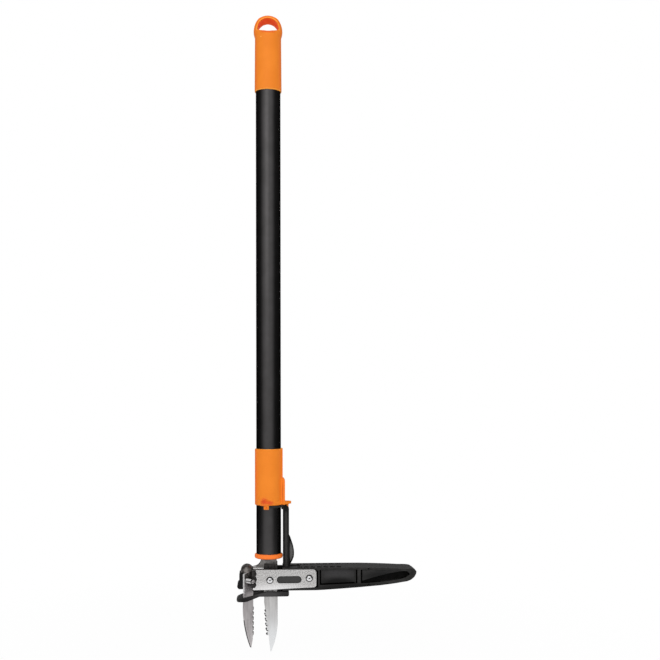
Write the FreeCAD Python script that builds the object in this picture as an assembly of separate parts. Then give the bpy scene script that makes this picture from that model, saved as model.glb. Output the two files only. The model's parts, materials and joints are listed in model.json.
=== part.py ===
import FreeCAD, Part
import math
import os

V = FreeCAD.Vector

# A stand-up hand weeder. X runs towards the free end of the foot pedal, Y across the pedal and Z up
# the shaft. Heights are measured up from the tips of the fixed claws, and each finished piece is
# lowered by hole_middle, so that the origin is the middle of the hanging hole. "Near" is the -Y side.

# Fits and clearances
seat_gap = 0.1
slide_gap = 0.3
pivot_gap = 0.05
swing_gap = 0.8
overrun = 2.0

# How far the pedal turns, in degrees, and how far the ejector slides
pedal_swing = 16.0
slide_travel = 62.0

# From the fixed claws' tips to the top of the hanging loop
overall_h = 986.25

# Pivot, a little right of the shaft's axis and above the fixed claws' tips
pivot_x = 1.7
pivot_height = 112.0

# Shaft tube, its collar above the pivot, and the plug and pin inside its lower end
tube_r = 19.25
tube_wall = 1.6
collar_rise = 31.5
collar_h = 8.0
collar_wall = 2.5
collar_round = 2.0
collar_lip = 1.5
plug_h = 44.0
pin_r = 2.5
pin_rise = 6.5

# Slider that rides on the shaft: its foot flange, boss, lip, tab and tongue, and its liner
slider_rise = 74.7
slider_h = 87.8
slider_wall = 2.1
liner_t = 0.8
liner_foot = 5.8
liner_head = 8.0
boss_out = 5.05
boss_half_w = 12.0
boss_h = 41.8
boss_round = 6.0
flange_t = 4.0
flange_out = 0.55
flange_tip_out = 5.5
flange_tip_r = 5.5
lip_x = 5.0
lip_in = 7.25
lip_r = 10.5
tab_x = 3.15
tab_w = 7.7
tab_drop = 7.8
tab_t = 2.3
tongue_in = 5.5
tongue_half_w = 2.6

# Grip cap on the shaft's upper end, with its hanging loop
grip_wall = 1.25
grip_h = 64.5
grip_neck_h = 17.0
grip_waist_inset = 0.6
grip_head_inset = 0.9
grip_bore_depth = 70.0
arch_rise = 13.5
hole_r = 15.5
hole_drop = 3.5
hole_corner_r = 2.5
loop_wall = 6.25
loop_thick = 25.0
loop_round = 3.0

# Tang: two plates that hang from the plug and carry the pivot and the fixed claws
tang_w = 24.5
tang_t = 3.0
tang_inner_y = 6.0
tang_in_plug = 36.5
tang_under = 15.0
tang_corner_r = 6.0
shoulder_out = 11.75
shoulder_over = 17.4
shoulder_gap = 4.1
shoulder_belly = 2.6
stop_t = 1.9
stop_gap = 0.4
stop_out = 3.0
stop_wing = 4.25

# Claw blades, the fixed pair on the tang and the moving pair on the pedal frame. Across a blade,
# shares of its width run from the toothed edge to the outer edge. Toes are in degrees.
blade_t = 2.5
tip_flat = 0.6
fixed_w = 21.0
fixed_toe = 16.0
fixed_out = 4.6
fixed_shift = 1.5
fixed_below_collar = 7.9
fixed_tip_share = 0.486
fixed_taper_h = 76.0
fixed_curve_h = 54.0
fixed_curve_share = 0.871
fixed_curve_height_share = 0.426
moving_w = 18.6
moving_toe = 42.0
moving_y = 11.6
moving_left = 10.55
moving_over = 9.0
moving_top_rise = 3.0
moving_tip_height = 6.7
moving_tip_share = 0.194
moving_heel_h = 16.0
moving_curve_h = 73.3
moving_curve_share = 0.828
moving_curve_height_share = 0.413
tooth_pitch = 7.75
tooth_count = 6
tooth_r = 3.2
tooth_depth = 1.3
fixed_tooth_height = 24.0
moving_tooth_height = 22.0

# Wedges between the tang and the fixed claws, and the rivets through them
wedge_left = 5.7
wedge_under = 13.0
wedge_over = 12.0
rivet_r = 2.0
rivet_head_r = 3.4
rivet_head_t = 1.3
rivet_shift = 2.8
rivet_offset = 9.9

# Pivot bush, and the two bolts of the pedal
bush_wall = 2.0
bush_end_gap = 0.4
bolt_r = 4.0
bolt_head_r = 5.8
bolt_head_t = 1.8
head_round_share = 0.6
nut_r = 6.2
nut_t = 4.5
pedal_bolt_r = 3.0
pedal_bolt_in = 11.0
pedal_bolt_rise = 2.3

# Steel side plates of the pedal frame, with their oval window
plate_t = 2.5
plate_inner_y = 20.1
plate_out = 8.75
plate_right_x = 73.5
plate_under = 15.0
plate_h = 30.9
plate_corner_r = 5.5
window_x = 32.25
window_w = 37.5
window_h = 11.0
window_rise = 0.4

# Claw holder at the left end of the frame, the black pads behind the moving claws, and their bolts
wall_out = 0.5
wall_t = 3.0
spine_half = 3.4
spine_clear = 1.0
spine_left_out = 10.95
spine_under = 12.0
spine_over = 4.0
spine_round = 9.0
spine_right_round = 3.0
pad_out = 13.45
pad_lift = 0.5
pad_bump = 3.0
pad_bump_h = 9.0
bump_share = 0.33
claw_bolt_under = 3.5
claw_bolt_r = 2.5
claw_bolt_reach = 12.6
claw_bolt_tail = 6.8
claw_head_r = 5.0
claw_head_t = 2.2
claw_nut_wall = 1.3
claw_nut_t = 3.0
sleeve_wall = 1.5

# Foot pedal: a fork round the ejector rod, then a tapering tread with two pockets a side
pedal_half_w = 23.0
pedal_lip_over = 2.1
pedal_lip_under = 1.2
pedal_clear = 1.0
ear_w = 9.0
ear_t = 1.7
tread_flat = 70.0
tread_l = 158.5
tread_end = 7.5
tread_end_drop = 3.6
tread_heel = 17.3
tread_heel_rise = 12.1
tread_tip_rise = 24.0
tread_bow = 1.95
tread_nose = 20.0
fall_share = 0.7
tread_wall = 4.5
rib_x = 61.1
rib_w = 7.4
pocket_depth = 15.0
pocket_rim = 3.6
pocket_end = 12.0
pocket_nose = 8.0
slot_clear = 9.9
slot_side_gap = 1.2
ridge_pitch = 10.1
ridge_first = 48.0
ridge_count = 7
ridge_w = 3.4
ridge_h = 1.1
ridge_inset = 6.0

# Ejector rod beside the collar, with its hooked head and its fin
rod_gap = 0.65
rod_w = 8.6
rod_half_w = 6.0
rod_rail = 2.1
rod_web_half = 2.4
rod_channel_inset = 5.0
rod_corner_r = 4.0
rod_head_t = 4.5
rod_head_wall = 2.45
rod_head_left = 15.0
rod_head_angle = 70.0
fin_h = 50.5
fin_lift = 0.5
fin_out = 8.0
fin_belly_h = 19.0
fin_half_w = 4.0
fin_web_half = 1.6
fin_rim = 1.8
fin_top_rims = 3
fin_shares = (0.78, 0.45, 0.9, 0.55, 0.25)

# Ejector plate under the pedal, with a sloping, sagging arm, and the screws
eject_gap = 2.0
eject_t = 7.2
eject_right_out = 0.2
eject_left_out = 17.95
eject_half_w = 22.5
eject_left_round = 16.0
eject_right_round = 4.0
arm_top_x = 2.7
arm_base_x = 10.6
arm_slope = 14.0
arm_t = 5.4
arm_low_x = 28.2
arm_sag = 7.4
screw_r = 2.0
screw_head_r = 3.6
screw_head_t = 2.0
screw_length = 14.0
rod_screw_r = 1.4
rod_screw_head_r = 2.6
rod_screw_head_t = 1.6
rod_screw_length = 11.0
rod_screw_wall = 0.8

# Heights worked out upwards from the pivot
plate_base = pivot_height - plate_under
plate_top = plate_base + plate_h
pedal_base = plate_base - pedal_lip_under
pedal_top = plate_top + pedal_lip_over
collar_base = pivot_height + collar_rise
collar_top = collar_base + collar_h
tube_base = collar_base + collar_lip
tang_base = pivot_height - tang_under
tang_top = collar_base + tang_in_plug
shoulder_foot = pivot_height + shoulder_over
fixed_top = collar_base - fixed_below_collar
moving_top = pivot_height + moving_over
wall_top = shoulder_foot - seat_gap - stop_t - stop_gap
eject_top = pedal_base - eject_gap
eject_under = eject_top - eject_t
slider_base = collar_top + slider_rise
slider_top = slider_base + slider_h

# Radii and places worked out from the shaft outwards
arc_share = math.sqrt(0.5)
grip_r = tube_r + grip_wall
loop_half_w = hole_r + loop_wall
arch_height = overall_h - loop_half_w
waist_height = arch_height - arch_rise
shoulder_height = waist_height - grip_neck_h
grip_base = shoulder_height - grip_h
hole_middle = arch_height + (hole_r - hole_drop) / 2
bore_r = tube_r + slide_gap
slider_r = bore_r + slider_wall
boss_reach = bore_r + boss_out
collar_r = tube_r + seat_gap + collar_wall
plug_r = tube_r - tube_wall - seat_gap
bush_r = bolt_r + bush_wall
tang_outer_y = tang_inner_y + tang_t
plate_outer_y = plate_inner_y + plate_t
fixed_x = pivot_x + fixed_shift
fixed_y = tang_outer_y + fixed_out
rivet_x = pivot_x + rivet_shift
rivet_heights = (pivot_height - rivet_offset, pivot_height + rivet_offset)
shoulder_reach = tang_w / 2 + shoulder_out
plate_left = tang_w / 2 + plate_out
wall_left = plate_left + wall_out
wall_right = wall_left - wall_t
moving_x = wall_left + moving_left
rod_left = collar_r + rod_gap
rod_right = rod_left + rod_w
flange_tip = rod_right + flange_tip_out
pedal_left = rod_left - pedal_clear
slot_right = rod_right + fin_out + slot_clear
pedal_bolt_x = plate_right_x - pedal_bolt_in
pedal_bolt_height = pivot_height + pedal_bolt_rise
tread_tip = plate_right_x + tread_l
tread_heel_x = tread_tip - tread_heel


def upright(x, z):
    return V(x, 0, z)


def level(x, y):
    return V(x, y, 0)


# An outline as a start and steps. A step of one point is a line, and one of two is an arc
# through the first to the second.
def outline(start, steps, placed=upright):
    edges = []
    here = placed(*start)
    for step in steps:
        end = placed(*step[-1])
        if len(step) == 2:
            edges.append(Part.Arc(here, placed(*step[0]), end).toShape())
        else:
            edges.append(Part.LineSegment(here, end).toShape())
        here = end
    return Part.Face(Part.Wire(edges))


# A closed outline through points, each with the radius of its corner if it has a third value
def polygon(points, placed=upright):
    after = points[1:] + points[:1]
    corners = [round_corner(points[n - 1], points[n], after[n]) for n in range(len(points))]
    steps = []
    for corner in corners:
        steps.append([corner[0]])
        if len(corner) == 3:
            steps.append([corner[1], corner[2]])
    start = corners[-1][-1]
    return outline(start, steps, placed)


# A sharp corner as its point, and a rounded one as the start, middle and end of its arc
def round_corner(before, corner, after):
    if len(corner) == 2:
        return [corner]
    x, z, r = corner
    back = math.atan2(before[1] - z, before[0] - x)
    ahead = math.atan2(after[1] - z, after[0] - x)
    half = (ahead - back) / 2
    run = r / abs(math.tan(half))
    to_middle = r / abs(math.sin(half)) - r
    bisector = (math.cos(back) + math.cos(ahead), math.sin(back) + math.sin(ahead))
    size = math.hypot(*bisector)
    return [
        (x + run * math.cos(back), z + run * math.sin(back)),
        (x + to_middle * bisector[0] / size, z + to_middle * bisector[1] / size),
        (x + run * math.cos(ahead), z + run * math.sin(ahead)),
    ]


# A face in the XZ plane made into a slab from y0 to y1
def slab(face, y0, y1):
    face.translate(V(0, y0, 0))
    return face.extrude(V(0, y1 - y0, 0))


# A face in the XY plane made into a prism from z0 to z1
def prism(face, z0, z1):
    face.translate(V(0, 0, z0))
    return face.extrude(V(0, 0, z1 - z0))


def block(x0, x1, y0, y1, z0, z1):
    return Part.makeBox(x1 - x0, y1 - y0, z1 - z0, V(x0, y0, z0))


def post(r, z0, z1, x=0, y=0):
    return Part.makeCylinder(r, z1 - z0, V(x, y, z0))


def across(r, x, z, y0, y1):
    return Part.makeCylinder(r, y1 - y0, V(x, y0, z), V(0, 1, 0))


def hexagon_across(r, x, z, y0, y1):
    turns = [math.radians(60 * n + 30) for n in range(6)]
    return slab(polygon([(x + r * math.cos(a), z + r * math.sin(a)) for a in turns]), y0, y1)


def mirrored(shape):
    return shape.mirror(V(0, 0, 0), V(0, 1, 0))


def both_sides(shape):
    return Part.makeCompound([shape, mirrored(shape)])


def shaft_tube():
    top = grip_base + grip_bore_depth
    tube = post(tube_r, tube_base, top).cut(post(tube_r - tube_wall, tube_base - overrun, top + overrun))
    return tube.cut(cross_pin(pin_r + pivot_gap, tube_r + overrun))


def grip_profile_cut():
    waist = grip_r - grip_head_inset
    half = loop_half_w - grip_head_inset
    return outline((-grip_r, grip_base), [
        [(-grip_r, shoulder_height)],
        [(-waist, waist_height)],
        [(-half, arch_height)],
        [(0, arch_height + half), (half, arch_height)],
        [(waist, waist_height)],
        [(grip_r, shoulder_height)],
        [(grip_r, grip_base)],
        [(-grip_r, grip_base)],
    ])


def grip_side_cut():
    half = loop_thick / 2
    top = arch_height + loop_half_w + overrun
    head = grip_r - grip_head_inset
    floor = arch_height - hole_drop
    side = polygon([
        (-grip_r, grip_base), (-grip_r, shoulder_height), (-head, floor),
        (-half, top), (half, top), (head, floor), (grip_r, shoulder_height), (grip_r, grip_base),
    ], lambda y, z: V(0, y, z))
    side.translate(V(-loop_half_w - overrun, 0, 0))
    return side.extrude(V(2 * (loop_half_w + overrun), 0, 0))


def hanging_hole(margin):
    low = arch_height - hole_drop
    in_corner = hole_r - hole_corner_r
    reach = hole_corner_r * arc_share
    face = outline((-hole_r, arch_height), [
        [(0, arch_height + hole_r), (hole_r, arch_height)],
        [(hole_r, low + hole_corner_r)],
        [(in_corner + reach, low + hole_corner_r - reach), (in_corner, low)],
        [(-in_corner, low)],
        [(-in_corner - reach, low + hole_corner_r - reach), (-hole_r, low + hole_corner_r)],
        [(-hole_r, arch_height)],
    ])
    return slab(face, -margin, margin)


# The loop's slab, with its edges rounded, from the waist up
def loop_slab():
    top = arch_height + loop_half_w
    half = loop_thick / 2
    low = waist_height - overrun
    waist = grip_r - grip_waist_inset
    face = outline((-waist, low), [
        [(-waist, waist_height)],
        [(-loop_half_w, arch_height)],
        [(0, top), (loop_half_w, arch_height)],
        [(waist, waist_height)],
        [(waist, low)],
        [(-waist, low)],
    ])
    head = slab(face, -half, half)
    rims = [e for e in head.Edges if abs(abs(e.CenterOfMass.y) - half) < seat_gap]
    rims = [e for e in rims if e.CenterOfMass.z > low + seat_gap]
    return head.makeFillet(loop_round, rims)


def grip_cap():
    front = slab(grip_profile_cut(), -grip_r - overrun, grip_r + overrun)
    body = front.common(grip_side_cut())
    body = body.common(post(grip_r, grip_base, arch_height + loop_half_w + overrun))
    body = body.fuse(loop_slab()).cut(hanging_hole(grip_r + overrun))
    inside = grip_base + grip_bore_depth + seat_gap
    return body.cut(post(tube_r + seat_gap / 2, grip_base - overrun, inside))


def collar_ring():
    ring = post(collar_r, collar_base, collar_top)
    ring = ring.makeFillet(collar_round, [e for e in ring.Edges if e.Curve.TypeId == "Part::GeomCircle"])
    return ring.cut(post(tube_r + seat_gap / 2, collar_base - overrun, collar_top + overrun))


def tang_face():
    half = tang_w / 2
    slope_top = collar_base - shoulder_gap
    mid_x = (shoulder_reach + half) / 2 - shoulder_belly
    mid_z = (shoulder_foot + slope_top) / 2 - shoulder_belly / 2
    lower = polygon([
        (-half, tang_base, tang_corner_r), (half, tang_base, tang_corner_r),
        (half, tang_top), (-half, tang_top),
    ])
    shoulder = outline((-shoulder_reach, shoulder_foot), [
        [(-mid_x, mid_z), (-half, slope_top)],
        [(half, slope_top)],
        [(half, shoulder_foot)],
        [(-shoulder_reach, shoulder_foot)],
    ])
    return lower, shoulder


def tang_plate():
    lower, shoulder = [slab(face, -tang_outer_y, -tang_inner_y) for face in tang_face()]
    plate = lower.fuse(shoulder).removeSplitter()
    plate = plate.cut(across(bush_r + pivot_gap, pivot_x, pivot_height, -tang_outer_y - overrun, 0))
    for z in rivet_heights:
        plate = plate.cut(across(rivet_r + pivot_gap, rivet_x, z, -tang_outer_y - overrun, 0))
    return plate.cut(cross_pin(pin_r + pivot_gap, tube_r))


def cross_pin(r, reach):
    return across(r, 0, collar_base + pin_rise, -reach, reach)


# The pin's flat ends stay inside the round of the tube
def shaft_pin():
    return cross_pin(pin_r, math.sqrt(tube_r ** 2 - pin_r ** 2))


def shaft_plug():
    plug = post(plug_r, collar_base, collar_base + plug_h)
    side = tang_w / 2 + seat_gap
    for low, high in ((-tang_outer_y, -tang_inner_y), (tang_inner_y, tang_outer_y)):
        plug = plug.cut(block(-side, side, low - seat_gap, high + seat_gap,
                              collar_base - overrun, tang_top + seat_gap))
    return plug.cut(cross_pin(pin_r + pivot_gap, tube_r))


def stop_plate():
    top = shoulder_foot - seat_gap
    wing = tang_w / 2 - stop_wing
    half = tang_outer_y + stop_out
    plate = block(-shoulder_reach, -wing, -half, half, top - stop_t, top)
    return plate.cut(block(-tang_w / 2 - seat_gap, 0, -tang_outer_y - seat_gap, tang_outer_y + seat_gap,
                           top - stop_t - overrun, top + overrun))


# A claw blade in its own plane: u runs from the inner, serrated edge to the outer edge
def fixed_blade_face():
    w = fixed_w
    tip = w * fixed_tip_share
    return outline((0, fixed_top), [
        [(w, fixed_top)],
        [(w, fixed_curve_h)],
        [(w * fixed_curve_share, fixed_curve_h * fixed_curve_height_share), (tip + tip_flat, 0)],
        [(tip, 0)],
        [(0, fixed_taper_h)],
        [(0, fixed_top)],
    ])


def moving_blade_face():
    w = moving_w
    low = moving_tip_height
    tip = w * moving_tip_share
    curve = moving_curve_h
    return outline((0, moving_top + moving_top_rise), [
        [(w, moving_top)],
        [(w, low + curve)],
        [(w * moving_curve_share, low + curve * moving_curve_height_share), (tip + tip_flat, low)],
        [(tip, low)],
        [(0, low + moving_heel_h)],
        [(0, moving_top + moving_top_rise)],
    ])


# Round bites along the serrated edge, from a lower point upwards
def teeth(u0, z0, u1, z1):
    run = math.hypot(u1 - u0, z1 - z0)
    bites = []
    for n in range(tooth_count):
        share = n * tooth_pitch / run
        u = u0 + (u1 - u0) * share - (tooth_r - tooth_depth)
        z = z0 + (z1 - z0) * share
        bites.append(across(tooth_r, u, z, -blade_t - overrun, blade_t + overrun))
    return Part.makeCompound(bites)


# Turns a blade about the upright line through its middle and puts it at its place on the near side
def toed(blade, width, toe, x, y, inwards):
    blade.translate(V(-width / 2, 0, 0))
    blade.rotate(V(0, 0, 0), V(0, 0, 1), toe if inwards else -toe)
    if inwards:
        blade.rotate(V(0, 0, 0), V(0, 0, 1), 180)
    blade.translate(V(x, -y, 0))
    return blade


def fixed_claw():
    blade = slab(fixed_blade_face(), -blade_t / 2, blade_t / 2)
    start = fixed_tooth_height
    tip = fixed_w * fixed_tip_share
    blade = blade.cut(teeth(tip * (1 - start / fixed_taper_h), start, 0, fixed_taper_h))
    blade = toed(blade, fixed_w, fixed_toe, fixed_x, fixed_y, False)
    blade = blade.cut(across(bush_r + pivot_gap, pivot_x, pivot_height, -plate_inner_y, 0))
    for z in rivet_heights:
        blade = blade.cut(across(rivet_r + pivot_gap, rivet_x, z, -plate_inner_y, 0))
    return blade


def moving_claw():
    blade = slab(moving_blade_face(), -blade_t / 2, blade_t / 2)
    blade = blade.cut(teeth(0, moving_tooth_height, 0, moving_top))
    blade = toed(blade, moving_w, moving_toe, -moving_x, moving_y, True)
    return blade.cut(claw_bolt_bore(claw_bolt_r + pivot_gap))


# The inner face of the near fixed claw, as a height in Y at x
def fixed_face_y(x):
    lean = math.radians(fixed_toe)
    middle = -fixed_y - (x - fixed_x) * math.tan(lean)
    return middle + blade_t / 2 / math.cos(lean) + seat_gap


def claw_wedge():
    left = pivot_x - wedge_left
    right = tang_w / 2
    plan = polygon([
        (left, -tang_outer_y - seat_gap), (left, fixed_face_y(left)),
        (right, fixed_face_y(right)), (right, -tang_outer_y - seat_gap),
    ], level)
    wedge = prism(plan, pivot_height - wedge_under, pivot_height + wedge_over)
    wedge = wedge.cut(across(bush_r + pivot_gap, pivot_x, pivot_height, -plate_inner_y, 0))
    for z in rivet_heights:
        wedge = wedge.cut(across(rivet_r + pivot_gap, rivet_x, z, -plate_inner_y, 0))
    return wedge


def claw_rivets():
    lean = math.radians(fixed_toe)
    face = -fixed_y - (rivet_x - fixed_x) * math.tan(lean) - blade_t / 2 / math.cos(lean)
    outer = face - rivet_head_r * math.tan(lean) - seat_gap
    made = []
    for z in rivet_heights:
        rivet = across(rivet_r, rivet_x, z, outer - rivet_head_t, -tang_inner_y + rivet_head_t)
        rivet = rivet.fuse(across(rivet_head_r, rivet_x, z, outer - rivet_head_t, outer))
        inner = -tang_inner_y + seat_gap
        rivet = rivet.fuse(across(rivet_head_r, rivet_x, z, inner, inner + rivet_head_t))
        made += [rivet, mirrored(rivet)]
    return Part.makeCompound(made)


def pivot_bushing():
    half = plate_inner_y - bush_end_gap
    bush = across(bush_r, pivot_x, pivot_height, -half, half)
    return bush.cut(across(bolt_r + pivot_gap, pivot_x, pivot_height, -half - overrun, half + overrun))


def plate_face():
    c = plate_corner_r
    return polygon([
        (-plate_left, plate_base), (plate_right_x, plate_base, c), (plate_right_x, plate_top, c),
        (-plate_left + c, plate_top), (-plate_left, plate_top - c),
    ])


def window_face():
    r = window_h / 2
    left = window_x - window_w / 2 + r
    right = window_x + window_w / 2 - r
    z = pivot_height + window_rise
    return outline((left, z - r), [
        [(right, z - r)],
        [(right + r, z), (right, z + r)],
        [(left, z + r)],
        [(left - r, z), (left, z - r)],
    ])


def side_plate():
    plate = slab(plate_face(), -plate_outer_y, -plate_inner_y)
    plate = plate.cut(slab(window_face(), -plate_outer_y - overrun, -plate_inner_y + overrun))
    far = -plate_inner_y + overrun
    near = -plate_outer_y - overrun
    plate = plate.cut(across(bolt_r + pivot_gap, pivot_x, pivot_height, near, far))
    return plate.cut(across(pedal_bolt_r + pivot_gap, pedal_bolt_x, pedal_bolt_height, near, far))


def headed_bolt(r, x, z):
    outer = plate_outer_y + seat_gap
    end = outer + nut_t
    bolt = across(r, x, z, -outer - bolt_head_t / 2, end)
    head = across(bolt_head_r, x, z, -outer - bolt_head_t, -outer)
    rim = [e for e in head.Edges if e.CenterOfMass.y < -outer - bolt_head_t / 2]
    return bolt.fuse(head.makeFillet(bolt_head_t * head_round_share, rim))


def bolt_nut(r, x, z):
    outer = plate_outer_y + seat_gap
    nut = hexagon_across(nut_r, x, z, outer, outer + nut_t - seat_gap)
    return nut.cut(across(r + pivot_gap, x, z, outer - overrun, outer + nut_t + overrun))


def pivot_bolt():
    return headed_bolt(bolt_r, pivot_x, pivot_height)


def pivot_nut():
    return bolt_nut(bolt_r, pivot_x, pivot_height)


def pedal_bolt():
    return headed_bolt(pedal_bolt_r, pedal_bolt_x, pedal_bolt_height)


def pedal_nut():
    return bolt_nut(pedal_bolt_r, pedal_bolt_x, pedal_bolt_height)


def claw_holder():
    half = plate_inner_y - seat_gap
    wall = block(-wall_left, -wall_right, -half, half, plate_base, wall_top)
    left = -moving_x - spine_left_out
    right = -shoulder_reach - spine_clear
    base = pivot_height - spine_under
    top = wall_top + spine_over
    spine = polygon([
        (-wall_left, base), (-wall_left, wall_top), (right, wall_top),
        (right, top, spine_right_round), (left, top, spine_round), (left, base),
    ])
    holder = wall.fuse(slab(spine, -spine_half, spine_half))
    heads = claw_bolt_rod(claw_head_r + slide_gap, 0, claw_bolt_reach + overrun)
    return holder.cut(heads).cut(mirrored(heads))


# The unit vectors of the near moving claw: along the blade outwards, and out of its near face
def moving_directions():
    toe = math.radians(moving_toe)
    along = V(-math.cos(toe), -math.sin(toe), 0)
    out = V(math.sin(toe), -math.cos(toe), 0)
    return along, out


def claw_bolt_rod(r, start, end):
    out = moving_directions()[1]
    foot = V(-moving_x, -moving_y, pivot_height - claw_bolt_under) + out * start
    return Part.makeCylinder(r, end - start, foot, out)


def claw_bolt_bore(r):
    return claw_bolt_rod(r, -claw_bolt_tail - overrun, claw_bolt_reach)


def claw_pad():
    along, out = moving_directions()
    face_point = V(-moving_x, -moving_y, 0) - out * (blade_t / 2 + seat_gap)
    spine_y = -spine_half - seat_gap
    inner = face_point + along * ((spine_y - face_point.y) / along.y)
    outer = face_point + along * (moving_w / 2)
    left = -moving_x - pad_out
    base = plate_base + pad_lift
    plan = polygon([(inner.x, spine_y), (outer.x, outer.y), (left, outer.y), (left, spine_y)], level)
    pad = prism(plan, base, moving_top)
    bump = outline((left, base), [
        [(left - pad_bump, base + pad_bump_h * bump_share), (left, base + pad_bump_h)],
        [(left, base)],
    ])
    pad = pad.fuse(slab(bump, outer.y, spine_y))
    pad = pad.cut(claw_bolt_bore(claw_bolt_r + pivot_gap))
    nut_r = claw_bolt_r + claw_nut_wall + seat_gap
    pocket = claw_bolt_rod(nut_r, -claw_bolt_tail - seat_gap, -claw_bolt_tail + claw_nut_t + seat_gap)
    return pad.cut(pocket)


def claw_bolts():
    shank = claw_bolt_rod(claw_bolt_r, -claw_bolt_tail, claw_bolt_reach - claw_head_t / 2)
    head = claw_bolt_rod(claw_head_r, claw_bolt_reach - claw_head_t, claw_bolt_reach)
    return both_sides(shank.fuse(head))


def claw_sleeves():
    start = blade_t / 2 + seat_gap
    end = claw_bolt_reach - claw_head_t - seat_gap
    tube = claw_bolt_rod(claw_bolt_r + sleeve_wall, start, end)
    bore = claw_bolt_rod(claw_bolt_r + pivot_gap, start - overrun, end + overrun)
    return both_sides(tube.cut(bore))


def claw_nuts():
    start = -claw_bolt_tail
    end = start + claw_nut_t
    nut = claw_bolt_rod(claw_bolt_r + claw_nut_wall, start, end)
    return both_sides(nut.cut(claw_bolt_rod(claw_bolt_r + pivot_gap, start - overrun, end + overrun)))


# Height of the pedal's underside, level to the frame's end and then rising to the heel
def pedal_under(x):
    share = (x - plate_right_x) / (tread_heel_x - plate_right_x)
    return pedal_base + tread_heel_rise * share - 4 * tread_bow * share * (1 - share)


def pedal_face():
    mid = (plate_right_x + tread_heel_x) / 2
    flat = plate_right_x + tread_flat
    end = tread_tip - tread_end
    end_height = pedal_top - tread_end_drop
    fall_height = end_height + tread_end_drop * fall_share
    return outline((pedal_left, pedal_base), [
        [(plate_right_x, pedal_base)],
        [(mid, pedal_under(mid)), (tread_heel_x, pedal_base + tread_heel_rise)],
        [(tread_tip, pedal_base + tread_tip_rise)],
        [(end, end_height)],
        [((flat + end) / 2, fall_height), (flat, pedal_top)],
        [(pedal_left, pedal_top)],
        [(pedal_left, pedal_base)],
    ])


def pedal_plan():
    nose = tread_tip - tread_nose
    half = pedal_half_w
    bend_x = nose + tread_nose * arc_share
    bend_y = half * arc_share
    return outline((pedal_left, -half), [
        [(nose, -half)],
        [(bend_x, -bend_y), (tread_tip, 0)],
        [(bend_x, bend_y), (nose, half)],
        [(pedal_left, half)],
        [(pedal_left, -half)],
    ], level)


def inner_pocket_face():
    left = plate_right_x + tread_wall
    right = plate_right_x + rib_x
    top = pedal_top - pocket_rim
    return polygon([
        (left, pedal_under(left) + pocket_rim), (right, pedal_under(right) + pocket_rim),
        (right, top), (left, top),
    ])


def outer_pocket_face():
    left = plate_right_x + rib_x + rib_w
    tip = tread_tip - pocket_end
    right = tip - pocket_nose
    mid = (left + right) / 2
    tip_top = pedal_top - tread_end_drop - pocket_rim
    low = pedal_under(right) + pocket_rim
    return outline((left, pedal_under(left) + pocket_rim), [
        [(mid, pedal_under(mid) + pocket_rim), (right, low)],
        [(tip, (low + tip_top) / 2)],
        [(right, tip_top)],
        [(left, pedal_top - pocket_rim)],
        [(left, pedal_under(left) + pocket_rim)],
    ])


def tread_ridges():
    half = pedal_half_w - ridge_inset
    ridges = []
    for n in range(ridge_count):
        x = ridge_first + n * ridge_pitch
        bar = outline((x - ridge_w / 2, pedal_top), [
            [(x, pedal_top + ridge_h), (x + ridge_w / 2, pedal_top)],
            [(x - ridge_w / 2, pedal_top)],
        ])
        ridges.append(slab(bar, -half, half))
    return ridges


def pedal_body():
    half = pedal_half_w
    body = slab(pedal_face(), -half, half)
    body = body.common(prism(pedal_plan(), pedal_base - overrun, pedal_top + overrun))
    for face in (inner_pocket_face(), outer_pocket_face()):
        pocket = slab(face, -half - overrun, -half + pocket_depth)
        body = body.cut(pocket).cut(mirrored(pocket))
    recess = block(pedal_left - overrun, plate_right_x + seat_gap, -half - overrun,
                   -plate_inner_y + seat_gap, plate_base - seat_gap, plate_top + seat_gap)
    body = body.cut(recess).cut(mirrored(recess))
    outer = plate_inner_y - seat_gap
    ear = block(pedal_left - ear_w, pedal_left + overrun, -outer, -outer + ear_t,
                plate_base + seat_gap, plate_top)
    body = body.fuse(ear).fuse(mirrored(ear))
    slot = rod_half_w + slot_side_gap
    body = body.cut(block(pedal_left - overrun, slot_right, -slot, slot, pedal_base - overrun,
                          pedal_top + overrun))
    body = body.cut(across(pedal_bolt_r + pivot_gap, pedal_bolt_x, pedal_bolt_height,
                           -half - overrun, half + overrun))
    gap = block(pedal_left, slot_right, -slot, slot, pedal_base, pedal_top + overrun)
    return body.fuse([ridge.cut(gap) for ridge in tread_ridges()])


def tear_drop(r, tip, tip_r):
    centre = tip - tip_r
    lean = math.acos((r - tip_r) / centre)
    c = math.cos(lean)
    s = math.sin(lean)
    return outline((r * c, -r * s), [
        [(centre + tip_r * c, -tip_r * s)],
        [(tip, 0), (centre + tip_r * c, tip_r * s)],
        [(r * c, r * s)],
        [(-r, 0), (r * c, -r * s)],
    ], level)


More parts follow.
